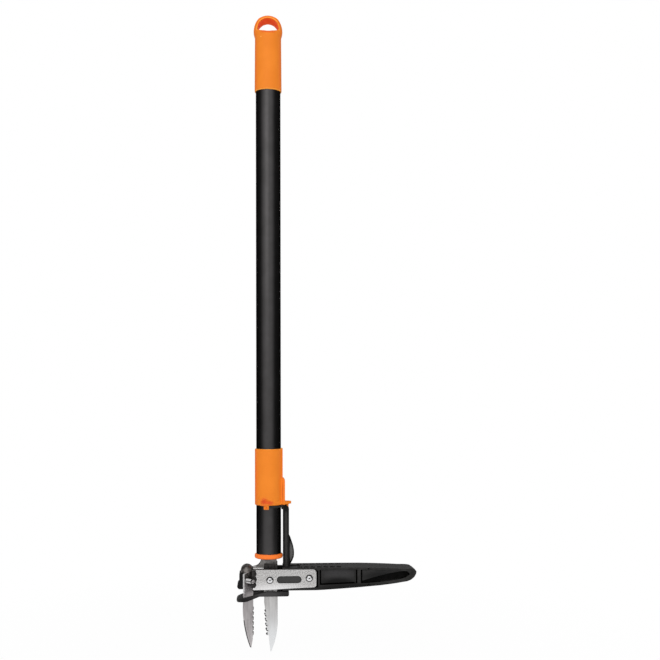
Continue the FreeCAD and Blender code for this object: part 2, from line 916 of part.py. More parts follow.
def slider_sleeve():
    flange_top = slider_base + flange_t
    drop = slider_base - tab_drop
    boss = polygon([
        (0, slider_base), (boss_reach, slider_base),
        (boss_reach, slider_base + boss_h, boss_round), (0, slider_base + boss_h),
    ])
    sleeve = post(slider_r, slider_base, slider_top).fuse(slab(boss, -boss_half_w, boss_half_w))
    flange = tear_drop(slider_r + flange_out, flange_tip, flange_tip_r)
    sleeve = sleeve.fuse(prism(flange, slider_base, flange_top))
    for side in (-1, 1):
        sleeve = sleeve.fuse(post(lip_r, slider_base, flange_top, -lip_x, side * (slider_r - lip_in)))
    sleeve = sleeve.fuse(block(-tab_x - tab_w / 2, -tab_x + tab_w / 2, -bore_r - tab_t, -bore_r + overrun,
                               drop, flange_top))
    sleeve = sleeve.fuse(block(rod_right - tongue_in, rod_right, -tongue_half_w, tongue_half_w,
                               drop, flange_top))
    sleeve = sleeve.cut(post(bore_r, drop - overrun, slider_top + overrun))
    sleeve = sleeve.cut(post(bore_r + liner_t + seat_gap, slider_base + liner_foot - seat_gap,
                             slider_top - liner_head + seat_gap))
    for x, y in rod_screw_places():
        bore = post(rod_screw_r + pivot_gap, slider_base - overrun, slider_base + rod_screw_length, x, y)
        sleeve = sleeve.cut(bore)
    return sleeve


def slider_liner():
    low = slider_base + liner_foot
    high = slider_top - liner_head
    return post(bore_r + liner_t, low, high).cut(post(bore_r, low - overrun, high + overrun))


def rod_screw_places():
    x = boss_reach - rod_screw_r - rod_screw_wall
    y = rod_half_w + rod_screw_head_r + slide_gap
    return [(x, -y), (x, y)]


# The rod's head hooks round the shaft under the flange, and lies under the whole of the boss
def rod_head(z0, z1):
    r = bore_r + rod_head_wall
    reach = r * 2
    spread = math.radians(rod_head_angle)
    keep = polygon([(0, 0), (reach * math.cos(spread), -reach * math.sin(spread)), (reach, -reach),
                    (reach, reach), (reach * math.cos(spread), reach * math.sin(spread))], level)
    head = post(r, z0, z1).common(prism(keep, z0, z1))
    head = head.fuse(block(rod_head_left, boss_reach, -boss_half_w, boss_half_w, z0, z1))
    return head.cut(post(bore_r, z0 - overrun, z1 + overrun))


def fin_face(inset):
    left = rod_right - seat_gap
    top = pedal_top + fin_lift + fin_h - inset * fin_top_rims
    base = pedal_top + fin_lift + inset
    belly = pedal_top + fin_lift + fin_belly_h
    out = fin_out - inset
    upper_x_share, upper_z_share, lower_x_share, lower_z_share, foot_share = fin_shares
    upper = (rod_right + out * upper_x_share, belly + (top - belly) * upper_z_share)
    lower = (rod_right + out * lower_x_share, base + (belly - base) * lower_z_share)
    return outline((left, top), [
        [(rod_right, top)],
        [upper, (rod_right + out, belly)],
        [lower, (rod_right + out * foot_share, base)],
        [(left, base)],
        [(left, top)],
    ])


def ejector_rod():
    base = eject_top + seat_gap
    top = slider_base - seat_gap
    rod = polygon([
        (rod_left, base), (rod_right, base), (rod_right, top, rod_corner_r), (rod_left, top),
    ])
    rod = slab(rod, -rod_half_w, rod_half_w)
    channel = block(rod_left + rod_rail, rod_right - rod_rail, -rod_half_w - overrun, -rod_web_half,
                    base + rod_channel_inset, top - rod_head_t - rod_channel_inset)
    rod = rod.cut(channel).cut(mirrored(channel))
    fin = slab(fin_face(0), -fin_half_w, fin_half_w)
    dent = slab(fin_face(fin_rim), -fin_half_w - overrun, -fin_web_half)
    fin = fin.cut(dent).cut(mirrored(dent))
    rod = rod.fuse(fin)
    rod = rod.fuse(rod_head(top - rod_head_t, top))
    rod = rod.cut(block(rod_right - tongue_in - seat_gap, rod_right + overrun, -tongue_half_w - seat_gap,
                        tongue_half_w + seat_gap, slider_base - tab_drop - seat_gap, top + overrun))
    for x, y in rod_screw_places():
        rod = rod.cut(post(rod_screw_r + pivot_gap, top - rod_head_t - overrun, top + overrun, x, y))
    middle = (rod_left + rod_right) / 2
    return rod.cut(post(screw_r + pivot_gap, base - overrun, base + screw_length, middle))


def rod_screws():
    top = slider_base - seat_gap - rod_head_t - seat_gap
    made = []
    for x, y in rod_screw_places():
        shank = post(rod_screw_r, top - rod_screw_head_t / 2, top + rod_screw_length, x, y)
        made.append(shank.fuse(post(rod_screw_head_r, top - rod_screw_head_t, top, x, y)))
    return Part.makeCompound(made)


def ejector_screw():
    x = (rod_left + rod_right) / 2
    shank = post(screw_r, eject_under + screw_head_t / 2, eject_top + screw_length - seat_gap, x)
    return shank.fuse(post(screw_head_r, eject_under, eject_under + screw_head_t, x))


def eject_face():
    left = moving_x + eject_left_out
    right = rod_right + eject_right_out
    end_top = eject_top - (left - arm_top_x) * math.tan(math.radians(arm_slope))
    return polygon([
        (right, eject_under), (right, eject_top), (-arm_top_x, eject_top),
        (-left, end_top), (-left, end_top - arm_t), (-arm_low_x, eject_under - arm_sag),
        (-arm_base_x, eject_under),
    ])


# The slot takes the moving claw at rest and wherever the swing and the slide can bring it
def moving_claw_slot():
    along, out = moving_directions()
    middle = V(-moving_x, -moving_y, 0)
    half = moving_w / 2 + swing_gap
    thick = blade_t / 2 + swing_gap
    turn = math.radians(pedal_swing)
    lever = pivot_height - eject_under + slide_travel
    swing = V(lever * math.sin(turn) + moving_x * (1 - math.cos(turn)), 0, 0)
    corners = [
        middle - along * half - out * thick,
        middle + along * half - out * thick,
        middle + along * half + out * thick,
        middle + along * half + out * thick + swing,
        middle - along * half + out * thick + swing,
        middle - along * half - out * thick + swing,
    ]
    return polygon([(p.x, p.y) for p in corners], level)


def fixed_claw_slot():
    half = fixed_w / 2 + swing_gap
    thick = blade_t / 2 + swing_gap
    slot = block(-half, half, -thick, thick, 0, eject_top + overrun)
    slot.rotate(V(0, 0, 0), V(0, 0, 1), -fixed_toe)
    slot.translate(V(fixed_x, -fixed_y, 0))
    return slot


def ejector_plate():
    plate = slab(eject_face(), -eject_half_w, eject_half_w)
    left = -moving_x - eject_left_out
    right = rod_right + eject_right_out
    plan = polygon([
        (left, -eject_half_w, eject_left_round), (right, -eject_half_w, eject_right_round),
        (right, eject_half_w, eject_right_round), (left, eject_half_w, eject_left_round),
    ], level)
    plate = plate.common(prism(plan, 0, eject_top + overrun))
    swing = prism(moving_claw_slot(), 0, eject_top + overrun)
    fixed = fixed_claw_slot()
    for cut in (swing, fixed):
        plate = plate.cut(cut).cut(mirrored(cut))
    x = (rod_left + rod_right) / 2
    under = eject_under
    plate = plate.cut(post(screw_r + pivot_gap, under - overrun, eject_top + overrun, x))
    return plate.cut(post(screw_head_r + seat_gap, under - overrun, under + screw_head_t + seat_gap, x))


pieces = {
    "shaft_tube": shaft_tube(),
    "grip_cap": grip_cap(),
    "collar_ring": collar_ring(),
    "shaft_plug": shaft_plug(),
    "shaft_pin": shaft_pin(),
    "tang_plate_near": tang_plate(),
    "tang_plate_far": mirrored(tang_plate()),
    "stop_plate": stop_plate(),
    "fixed_claw_near": fixed_claw(),
    "fixed_claw_far": mirrored(fixed_claw()),
    "claw_wedge_near": claw_wedge(),
    "claw_wedge_far": mirrored(claw_wedge()),
    "claw_rivets": claw_rivets(),
    "pivot_bushing": pivot_bushing(),
    "slider_sleeve": slider_sleeve(),
    "slider_liner": slider_liner(),
    "ejector_rod": ejector_rod(),
    "rod_screws": rod_screws(),
    "ejector_plate": ejector_plate(),
    "ejector_screw": ejector_screw(),
    "pedal_body": pedal_body(),
    "side_plate_near": side_plate(),
    "side_plate_far": mirrored(side_plate()),
    "pivot_bolt": pivot_bolt(),
    "pivot_nut": pivot_nut(),
    "pedal_bolt": pedal_bolt(),
    "pedal_nut": pedal_nut(),
    "claw_holder": claw_holder(),
    "claw_pad_near": claw_pad(),
    "claw_pad_far": mirrored(claw_pad()),
    "moving_claw_near": moving_claw(),
    "moving_claw_far": mirrored(moving_claw()),
    "claw_bolts": claw_bolts(),
    "claw_sleeves": claw_sleeves(),
    "claw_nuts": claw_nuts(),
}

os.makedirs("parts", exist_ok=True)
for name, shape in pieces.items():
    shape.translate(V(0, 0, -hole_middle))
    shape.exportStep("parts/" + name + ".step")
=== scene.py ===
import json
import math

import bmesh
import bpy
from mathutils import Matrix, Vector

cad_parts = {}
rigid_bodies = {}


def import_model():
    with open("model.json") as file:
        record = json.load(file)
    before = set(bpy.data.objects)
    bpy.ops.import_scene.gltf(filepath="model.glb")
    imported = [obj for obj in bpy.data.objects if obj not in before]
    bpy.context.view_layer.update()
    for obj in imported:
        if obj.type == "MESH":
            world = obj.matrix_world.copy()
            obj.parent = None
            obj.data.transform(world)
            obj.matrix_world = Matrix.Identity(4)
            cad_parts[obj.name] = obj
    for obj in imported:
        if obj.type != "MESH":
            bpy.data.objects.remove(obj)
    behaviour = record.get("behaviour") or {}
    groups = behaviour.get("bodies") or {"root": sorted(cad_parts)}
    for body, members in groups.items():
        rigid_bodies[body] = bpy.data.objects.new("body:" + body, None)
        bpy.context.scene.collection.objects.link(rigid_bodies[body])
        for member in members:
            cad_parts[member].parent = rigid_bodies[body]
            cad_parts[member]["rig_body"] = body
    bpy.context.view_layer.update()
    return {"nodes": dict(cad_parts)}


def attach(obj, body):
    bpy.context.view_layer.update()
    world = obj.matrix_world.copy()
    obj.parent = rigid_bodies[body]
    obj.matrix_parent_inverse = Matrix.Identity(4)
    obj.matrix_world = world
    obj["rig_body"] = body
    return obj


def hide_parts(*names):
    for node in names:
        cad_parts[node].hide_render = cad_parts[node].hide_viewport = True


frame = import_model()
scene = bpy.context.scene
scene.view_settings.view_transform = "Standard"

# Pieces are modelled in millimetres, with heights above the claw tips, and then put in the frame.
millimetre = 0.001
holeHeight = 970.5
up = (0, 0, 1)


# A value mapped from one range to another by a node
def mapRange(tree, value, fromMin=0, fromMax=1, toMin=0, toMax=1, smooth=False):
    node = tree.nodes.new("ShaderNodeMapRange")
    if smooth:
        node.interpolation_type = "SMOOTHSTEP"
    node.inputs["From Min"].default_value = fromMin
    node.inputs["From Max"].default_value = fromMax
    node.inputs["To Min"].default_value = toMin
    node.inputs["To Max"].default_value = toMax
    tree.links.new(value, node.inputs["Value"])
    return node.outputs["Result"]


def vectorMath(tree, operation, vector, other=None):
    node = tree.nodes.new("ShaderNodeVectorMath")
    node.operation = operation
    tree.links.new(vector, node.inputs[0])
    if other is not None:
        node.inputs[1].default_value = other
    return node.outputs["Value" if operation in ("LENGTH", "DOT_PRODUCT") else "Vector"]


def mathOf(tree, operation, first, second):
    node = tree.nodes.new("ShaderNodeMath")
    node.operation = operation
    tree.links.new(first, node.inputs[0])
    tree.links.new(second, node.inputs[1])
    return node.outputs[0]


# Shows the second shader instead of the first, by a share from 0 to 1
def mixShaders(tree, share, first, second, output):
    mix = tree.nodes.new("ShaderNodeMixShader")
    tree.links.new(share, mix.inputs["Fac"])
    tree.links.new(first.outputs[0], mix.inputs[1])
    tree.links.new(second.outputs[0], mix.inputs[2])
    tree.links.new(mix.outputs[0], tree.nodes[output].inputs["Surface"])


def noiseAt(tree, scale, detail, stretch):
    where = tree.nodes.new("ShaderNodeTexCoord")
    noise = tree.nodes.new("ShaderNodeTexNoise")
    noise.inputs["Scale"].default_value = scale
    noise.inputs["Detail"].default_value = detail
    source = where.outputs["Object"]
    if stretch:
        mapping = tree.nodes.new("ShaderNodeMapping")
        mapping.inputs["Scale"].default_value = stretch
        tree.links.new(source, mapping.inputs["Vector"])
        source = mapping.outputs["Vector"]
    tree.links.new(source, noise.inputs["Vector"])
    return noise.outputs["Fac"]


# A finish whose colour, roughness and bump follow noise in the object's own space
def makeFinish(name, s):
    material = bpy.data.materials.new(name)
    material.use_nodes = True
    tree = material.node_tree
    shader = tree.nodes["Principled BSDF"]
    shader.inputs["Base Color"].default_value = (*s["light"], 1)
    shader.inputs["Metallic"].default_value = s["metallic"]
    shader.inputs["Specular IOR Level"].default_value = s["specular"]
    if s["edgeTint"]:
        shader.inputs["Specular Tint"].default_value = (*s["edgeTint"], 1)
    ramp = tree.nodes.new("ShaderNodeValToRGB")
    first, last = ramp.color_ramp.elements
    first.position = s["patchFrom"]
    last.position = s["patchTo"]
    first.color = (*s["dark"], 1)
    last.color = (*s["light"], 1)
    tree.links.new(noiseAt(tree, s["patchScale"], 4.0, s["patchStretch"]), ramp.inputs["Fac"])
    tree.links.new(ramp.outputs["Color"], shader.inputs["Base Color"])
    fine = noiseAt(tree, s["grainScale"], 2.0, s["grainStretch"])
    smoothest, roughest = s["rough"]
    tree.links.new(mapRange(tree, fine, toMin=smoothest, toMax=roughest), shader.inputs["Roughness"])
    bump = tree.nodes.new("ShaderNodeBump")
    bump.inputs["Strength"].default_value = s["bump"]
    bump.inputs["Distance"].default_value = s["bumpDepth"]
    tree.links.new(fine, bump.inputs["Height"])
    tree.links.new(bump.outputs["Normal"], shader.inputs["Normal"])
    return material


usualFinish = dict(metallic=1, specular=0.5, edgeTint=None, patchFrom=0.35, patchTo=0.65, patchStretch=None,
                   grainStretch=None, bump=0.1, bumpDepth=0.0001)
finishes = {
    "orangePlastic": dict(metallic=0, specular=0.16, dark=(0.81, 0.215, 0.015), light=(0.86, 0.24, 0.019),
                          patchScale=35, grainScale=2600, rough=(0.42, 0.55), bump=0.12),
    "orangeCollar": dict(metallic=0, specular=0.2, dark=(0.93, 0.19, 0.024), light=(0.97, 0.21, 0.03),
                         patchScale=60, grainScale=2600, rough=(0.38, 0.5)),
    "blackCoat": dict(edgeTint=(0, 0, 0), dark=(0.072, 0.069, 0.069), light=(0.086, 0.082, 0.083),
                      patchScale=50, grainScale=1400, rough=(0.27, 0.33), bump=0.05),
    "orangeShade": dict(metallic=0, specular=0.08, dark=(0.98, 0.17, 0.018), light=(1.0, 0.23, 0.024),
                        patchScale=60, grainScale=2600, rough=(0.5, 0.6)),
    # lighter orange for painted highlights on rims
    "orangeRimHighlight": dict(metallic=0, specular=0.3, dark=(1.0, 0.34, 0.035), light=(1.0, 0.38, 0.05),
                      patchScale=60, grainScale=2600, rough=(0.3, 0.4)),
    "blackPlastic": dict(metallic=0, specular=0.16, dark=(0.017, 0.0163, 0.016),
                         light=(0.027, 0.026, 0.0253), patchScale=120, grainScale=1800, rough=(0.42, 0.6),
                         bump=0.35, bumpDepth=0.0002),
    # a darker, duller black for painted shade in hollows
    "hollowShadePlastic": dict(metallic=0, specular=0.03, dark=(0.004, 0.0038, 0.0036),
                          light=(0.007, 0.0066, 0.0064), patchScale=120, grainScale=1800, rough=(0.6, 0.7)),
    # a lighter, shinier black for the bevels: a real sheen and a painted highlight
    "edgeHighlightPlastic": dict(metallic=0, specular=0.45, dark=(0.03, 0.0285, 0.028), light=(0.045, 0.043, 0.042),
                        patchScale=120, grainScale=1800, rough=(0.32, 0.42)),
    "plateSteel": dict(dark=(0.34, 0.33, 0.325), light=(0.76, 0.75, 0.74), patchScale=620, grainScale=1300,
                       rough=(0.34, 0.5), bump=0.45, bumpDepth=0.00015),
    "clawSteel": dict(dark=(0.47, 0.46, 0.455), light=(0.62, 0.61, 0.605), patchScale=250, grainScale=2200,
                      patchStretch=(1, 1, 0.15), grainStretch=(1, 1, 0.06), rough=(0.34, 0.5)),
    "clawDim": dict(dark=(0.48, 0.45, 0.455), light=(0.62, 0.59, 0.59), patchScale=250, grainScale=2200,
                    patchStretch=(1, 1, 0.15), grainStretch=(1, 1, 0.06), rough=(0.34, 0.5)),
    # dark steel, also used for painted shade and painted dark reflections
    "darkSteelAndShade": dict(metallic=0.8, dark=(0.016, 0.015, 0.0145), light=(0.05, 0.047, 0.045),
                      patchScale=260, grainScale=1500, rough=(0.36, 0.55), bump=0.3),
    "tangSteel": dict(metallic=0.9, dark=(0.14, 0.135, 0.13), light=(0.29, 0.28, 0.27),
                      patchScale=220, grainScale=1500, rough=(0.36, 0.55), bump=0.2),
    # cast steel, also used for painted shade on the moving claws' tops
    "castSteelAndShade": dict(metallic=0.8, dark=(0.09, 0.082, 0.076), light=(0.27, 0.25, 0.235),
                      patchScale=260, grainScale=1300, rough=(0.32, 0.55), bump=0.4, bumpDepth=0.0002),
    # bright steel, also used as a painted highlight on the side plates' bevels
    "brightSteelAndHighlight": dict(dark=(0.7, 0.7, 0.71), light=(0.82, 0.82, 0.83), patchScale=400, grainScale=2500,
                        rough=(0.14, 0.24), bump=0.05, bumpDepth=0.00005),
    # a light steel for painted highlights on edges and bands
    "highlightSteel": dict(metallic=0.2, dark=(0.58, 0.575, 0.57), light=(0.78, 0.775, 0.77),
                        patchScale=400, grainScale=2500, rough=(0.35, 0.45), bump=0.05, bumpDepth=0.00005),
}
materials = {}
for name, changes in finishes.items():
    materials[name] = makeFinish(name, {**usualFinish, **changes})


# A copy of a finish with soft patches of other colours, mostly painted light and shade, as (middle, size,
# inner share, colour)
def withPatches(finish, name, patches):
    material = materials[finish].copy()
    material.name = name
    tree = material.node_tree
    base = tree.nodes["Principled BSDF"].inputs["Base Color"]
    where = tree.nodes.new("ShaderNodeTexCoord")
    for (x, y, h), size, inner, colour in patches:
        mapping = tree.nodes.new("ShaderNodeMapping")
        mapping.vector_type = "TEXTURE"
        mapping.inputs["Location"].default_value = Vector((x, y, h - holeHeight)) * millimetre
        mapping.inputs["Scale"].default_value = Vector(size) * millimetre
        tree.links.new(where.outputs["Object"], mapping.inputs["Vector"])
        reach = vectorMath(tree, "LENGTH", mapping.outputs["Vector"])
        share = mapRange(tree, reach, fromMin=inner, toMin=1, toMax=0, smooth=True)
        mix = tree.nodes.new("ShaderNodeMixRGB")
        mix.inputs["Color2"].default_value = (*colour, 1)
        tree.links.new(share, mix.inputs["Fac"])
        tree.links.new(base.links[0].from_socket, mix.inputs["Color1"])
        tree.links.new(mix.outputs["Color"], base)
    materials[name] = material


# The slider's patches are painted shade: down both sides, in the scoop above the near lip and in a strip
# beside the boss
withPatches("orangePlastic", "orangeSlider", [
    ((-23, 0, 270), (10, 60, 90), 0.3, (0.93, 0.19, 0.011)),
    ((21, 0, 270), (8, 60, 90), 0.3, (0.92, 0.21, 0.013)),
    ((-7, -21, 232), (8.5, 10, 9.5), 0.15, (0.72, 0.1, 0.018)),
    ((1.5, -21, 230.6), (9, 10, 5), 0.2, (0.74, 0.11, 0.018)),
    ((21.6, -9, 245), (1.6, 5, 30), 0.3, (0.66, 0.13, 0.013))])
# The grip's patches are painted shade: down both sides, over the loop and in a band just under the hole
withPatches("orangePlastic", "orangeGrip", [
    ((-23, 0, 905), (10, 60, 120), 0.3, (0.87, 0.19, 0.011)),
    ((23, 0, 905), (10, 60, 120), 0.3, (0.87, 0.19, 0.011)),
    ((0, 0, 979), (32, 40, 17), 0.7, (0.86, 0.18, 0.011)),
    ((0, -19.5, 958.6), (17, 7, 2.2), 0.5, (0.8, 0.14, 0.013))])
# painted light: the side plates are lighter along their lower part
withPatches("plateSteel", "plateSteelLit", [
    ((10, -22.6, 94), (75, 40, 20), 0.1, (0.88, 0.87, 0.87))])
# painted light: the fixed claws grow lighter towards their tips
withPatches("clawSteel", "clawSteelLitTip", [
    ((5, -14, 0), (30, 30, 82), 0.2, (0.76, 0.77, 0.78))])
# painted light on the upper inner web and painted shade low in the inner pocket, across the nose pocket and
# along the bottom; the recess floor behind the side plate is lighter
withPatches("blackPlastic", "pedalPlastic", [
    ((40, -20, 112), (36, 1.6, 16), 0.9, (0.048, 0.046, 0.045)),
    ((108, -20.4, 120), (34, 3, 14), 0.3, (0.034, 0.033, 0.034)),
    ((108, -20.4, 102), (38, 3, 17), 0.45, (0.003, 0.0028, 0.0027)),
    ((175, -20.2, 116), (40, 3, 10), 0.3, (0.008, 0.0076, 0.0077)),
    ((140, -23, 94), (100, 6, 16), 0.5, (0.004, 0.0038, 0.0036))])
# a painted highlight on the flat plate's near face; the sloping arm is darker
withPatches("blackPlastic", "armPlastic", [
    ((-2, -22.5, 90), (26, 6, 5), 0.4, (0.048, 0.046, 0.047)),
    ((-34, -14, 81), (18, 18, 9), 0.4, (0.009, 0.0086, 0.0084))])
# darker over the whole rod, with painted light along the channel floor and on the fin's face
withPatches("blackPlastic", "rodPlastic", [
    ((27, 0, 155), (11, 40, 95), 0.9, (0.005, 0.0048, 0.0047)),
    ((27, -2, 155), (3.2, 1.4, 95), 0.8, (0.056, 0.054, 0.052)),
    ((36.5, -1.4, 153), (5, 2, 28), 0.6, (0.125, 0.123, 0.121))])
withPatches("blackPlastic", "padPlastic", [
    ((-42, 0, 100), (40, 60, 60), 0.9, (0.004, 0.0038, 0.0036))])
print("materials made")


def vertsOf(found):
    return [g for g in found if isinstance(g, bmesh.types.BMVert)]


def move(bm, by):
    bmesh.ops.translate(bm, vec=by, verts=bm.verts)


def rotate(bm, angle, axis):
    bmesh.ops.rotate(bm, verts=bm.verts, cent=(0, 0, 0), matrix=Matrix.Rotation(angle, 3, axis))


# An outline of (x, height) corners, some with a third value that rounds them, as a slab in Y
def slabFrom(corners, near, far, roundSteps=6):
    bm = bmesh.new()
    bm.faces.new([bm.verts.new((corner[0], near, corner[1])) for corner in corners])
    for corner in corners:
        if len(corner) > 2:
            spot = Vector((corner[0], near, corner[1]))
            at = min(bm.verts, key=lambda v: (v.co - spot).length)
            bmesh.ops.bevel(bm, geom=[at], offset=corner[2], offset_type="OFFSET", affect="VERTICES",
                            segments=roundSteps, profile=0.5, material=-1, clamp_overlap=True)
    pulled = bmesh.ops.extrude_face_region(bm, geom=bm.faces[:])
    bmesh.ops.translate(bm, vec=(0, far - near, 0), verts=vertsOf(pulled["geom"]))
    bmesh.ops.recalc_face_normals(bm, faces=bm.faces)
    return bm


# A profile of (radius, height) points spun about an upright line, or about one along Y
def turned(profile, middle=(0, 0, 0), steps=96, alongY=False):
    bm = bmesh.new()
    verts = [bm.verts.new((radius, 0, height)) for radius, height in profile]
    edges = [bm.edges.new(pair) for pair in zip(verts, verts[1:])]
    if profile[0] != profile[-1] and profile[0][0] > 0 and profile[-1][0] > 0:
        edges.append(bm.edges.new((verts[-1], verts[0])))
    bmesh.ops.spin(bm, geom=verts + edges, cent=(0, 0, 0), axis=up, dvec=(0, 0, 0),
                   angle=math.tau, steps=steps, use_merge=True, use_duplicate=False)
    bmesh.ops.remove_doubles(bm, verts=bm.verts, dist=0.0001)
    if alongY:
        rotate(bm, math.pi / 2, "X")
    move(bm, middle)
    bmesh.ops.recalc_face_normals(bm, faces=bm.faces)
    return bm


def ringFrom(inner, outer, low, high, steps=96):
    return turned([(inner, low), (outer, low), (outer, high), (inner, high)], steps=steps)


# A cylinder between two points
def rodBetween(start, end, radius, sides=32):
    start, end = Vector(start), Vector(end)
    line = end - start
    bm = bmesh.new()
    turn = Vector(up).rotation_difference(line).to_matrix().to_4x4()
    bmesh.ops.create_cone(bm, cap_ends=True, segments=sides, radius1=radius, radius2=radius,
                          depth=line.length, matrix=Matrix.Translation((start + end) / 2) @ turn)
    return bm


def asObject(bm, name):
    mesh = bpy.data.meshes.new(name)
    bm.to_mesh(mesh)
    bm.free()
    made = bpy.data.objects.new(name, mesh)
    scene.collection.objects.link(made)
    return made


# Works out a piece's modifiers and keeps the result as its mesh
def settle(piece):
    graph = bpy.context.evaluated_depsgraph_get()
    graph.update()
    mesh = bpy.data.meshes.new_from_object(piece.evaluated_get(graph))
    old = piece.data
    piece.modifiers.clear()
    piece.data = mesh
    bpy.data.meshes.remove(old)


def combine(piece, other, how="DIFFERENCE"):
    change = piece.modifiers.new("combine", "BOOLEAN")
    change.operation = how
    change.object = other
    change.solver = "EXACT"
    settle(piece)
    bpy.data.objects.remove(other)


def cut(piece, bm):
    combine(piece, asObject(bm, "cutter"))


def add(piece, bm):
    combine(piece, asObject(bm, "adder"), "UNION")


# Melts a piece's joints together as moulded plastic has them
def melt(piece, size, smoothing):
    wax = piece.modifiers.new("melt", "REMESH")
    wax.mode = "VOXEL"
    wax.voxel_size = size
    polish = piece.modifiers.new("polish", "SMOOTH")
    polish.factor = 0.5
    polish.iterations = smoothing
    settle(piece)


# Puts a finished piece in the frame, softens its edges and gives it its finish, body and nodes
def finishPiece(piece, name, finish, nodes, edge=0.3, edgeSteps=2, angle=32, edgeFinish=None):
    piece.name = name
    piece.data.transform(Matrix.Diagonal((millimetre, millimetre, millimetre, 1))
                         @ Matrix.Translation((0, 0, -holeHeight)))
    piece.data.materials.clear()
    piece.data.materials.append(materials[finish])
    for polygon in piece.data.polygons:
        polygon.use_smooth = True
    if edge:
        soften = piece.modifiers.new("soften", "BEVEL")
        soften.width = edge * millimetre
        soften.segments = edgeSteps
        soften.limit_method = "ANGLE"
        soften.angle_limit = math.radians(angle)
        soften.use_clamp_overlap = True
        if edgeFinish:
            piece.data.materials.append(materials[edgeFinish])
            soften.material = 1
    flatten = piece.modifiers.new("flatten", "WEIGHTED_NORMAL")
    flatten.keep_sharp = True
    flatten.weight = 60
    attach(piece, bodyOf(nodes[0]))
    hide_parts(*nodes)
    return piece


def bodyOf(node):
    return frame["nodes"][node]["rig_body"]


# A CAD node's shape in millimetres, with its triangles joined up again
def modelCopy(node):
    bm = bmesh.new()
    bm.from_mesh(frame["nodes"][node].data)
    bmesh.ops.scale(bm, verts=bm.verts, vec=(1 / millimetre,) * 3)
    move(bm, (0, 0, holeHeight))
    bmesh.ops.remove_doubles(bm, verts=bm.verts, dist=0.004)
    bmesh.ops.dissolve_limit(bm, angle_limit=math.radians(1.5), verts=bm.verts, edges=bm.edges)
    return bm


# Gives the faces that a test picks, by their place in millimetres, another finish
def paintFaces(piece, finish, picks):
    piece.data.materials.append(materials[finish])
    for polygon in piece.data.polygons:
        x, y, z = polygon.center / millimetre
        if picks(x, y, z + holeHeight, polygon.normal):
            polygon.material_index = len(piece.data.materials) - 1


# A box between two corners
def boxFrom(low, high):
    bm = bmesh.new()
    bmesh.ops.create_cube(bm, size=1)
    for vert in bm.verts:
        vert.co = Vector([l + (h - l) * (0.5 + c) for l, h, c in zip(low, high, vert.co)])
    return bm


def ballAt(middle, size, rings=24):
    bm = bmesh.new()
    bmesh.ops.create_uvsphere(bm, u_segments=rings * 2, v_segments=rings, radius=1)
    bmesh.ops.scale(bm, verts=bm.verts, vec=size)
    move(bm, middle)
    return bm


# A level outline of (x, y) corners as an upright column
def columnFrom(corners, low, high):
    bm = slabFrom(corners, -high, -low)
    rotate(bm, math.pi / 2, "X")
    bmesh.ops.scale(bm, verts=bm.verts, vec=(1, 1, -1))
    bmesh.ops.recalc_face_normals(bm, faces=bm.faces)
    return bm


# Splits the faces that a plane crosses
def splitAt(bm, spot, facing):
    bmesh.ops.bisect_plane(bm, geom=bm.verts[:] + bm.edges[:] + bm.faces[:], plane_co=spot,
                           plane_no=facing)


# Rounds the edges of a piece that a test picks by their two ends
def roundEdges(bm, size, steps, picks):
    edges = [edge for edge in bm.edges if picks(*(vert.co for vert in edge.verts))]
    bmesh.ops.bevel(bm, geom=edges, offset=size, offset_type="OFFSET", affect="EDGES",
                    segments=steps, profile=0.5, material=-1, clamp_overlap=True)
    return bm


tubeSizes = dict(radius=19.25, wall=1.6, base=145, top=939)


def makeTube(s):
    inner = s["radius"] - s["wall"]
    bm = turned([(s["radius"], s["base"]), (s["radius"], s["top"]), (inner, s["top"]), (inner, s["base"])],
                steps=128)
    finishPiece(asObject(bm, "tube"), "shaftTube", "blackCoat", ["shaft_tube"], edge=0.3)


makeTube(tubeSizes)

collarSizes = dict(radius=21.85, bore=19.28, base=143.2, top=150.5, round=2.0)


def makeCollar(s):
    r, e = s["radius"], s["round"]
    bm = turned([(s["bore"], s["base"]), (r - e, s["base"]), (r - e * 0.3, s["base"] + e * 0.35),
                 (r, s["base"] + e), (r, s["top"] - e), (r - e * 0.3, s["top"] - e * 0.35),
                 (r - e, s["top"]), (s["bore"], s["top"])], steps=128)
    finishPiece(asObject(bm, "collar"), "collarRing", "orangeCollar", ["collar_ring"], edge=0.4, angle=20)


makeCollar(collarSizes)
print("shaft made")


gripSizes = dict(radius=21, base=869.7, taperTop=954, waist=20.4, arch=963.2, shoulder=[(1, 5.2), (0.2, 2.2)],
                 loopHalf=22.4, loopRise=21.8, loopTopY=14.6, loopStretch=1.09, headY=19.8,
                 sideTaper=[(18, 971), (15.8, 979)], neck=(20.5, 958), headRadius=20.9,
                 holeRadius=16.5, holeArch=964.4, holeFloor=960.1,
                 holeDish=[(15.4, 963), (12, 961.8), (8, 960.8), (4, 960.3)],
                 rimFrom=0.4, rimTo=1.6, rimY=9, bore=19.28, boreTop=939.6, voxel=0.7,
                 gate=(-11.1, 951.2, 1.2), gateSink=0.55, reach=30)


def halfRound(radius, rise, height, steps):
    return [(radius * math.cos(math.pi * n / steps), height + rise * math.sin(math.pi * n / steps))
            for n in range(steps + 1)]


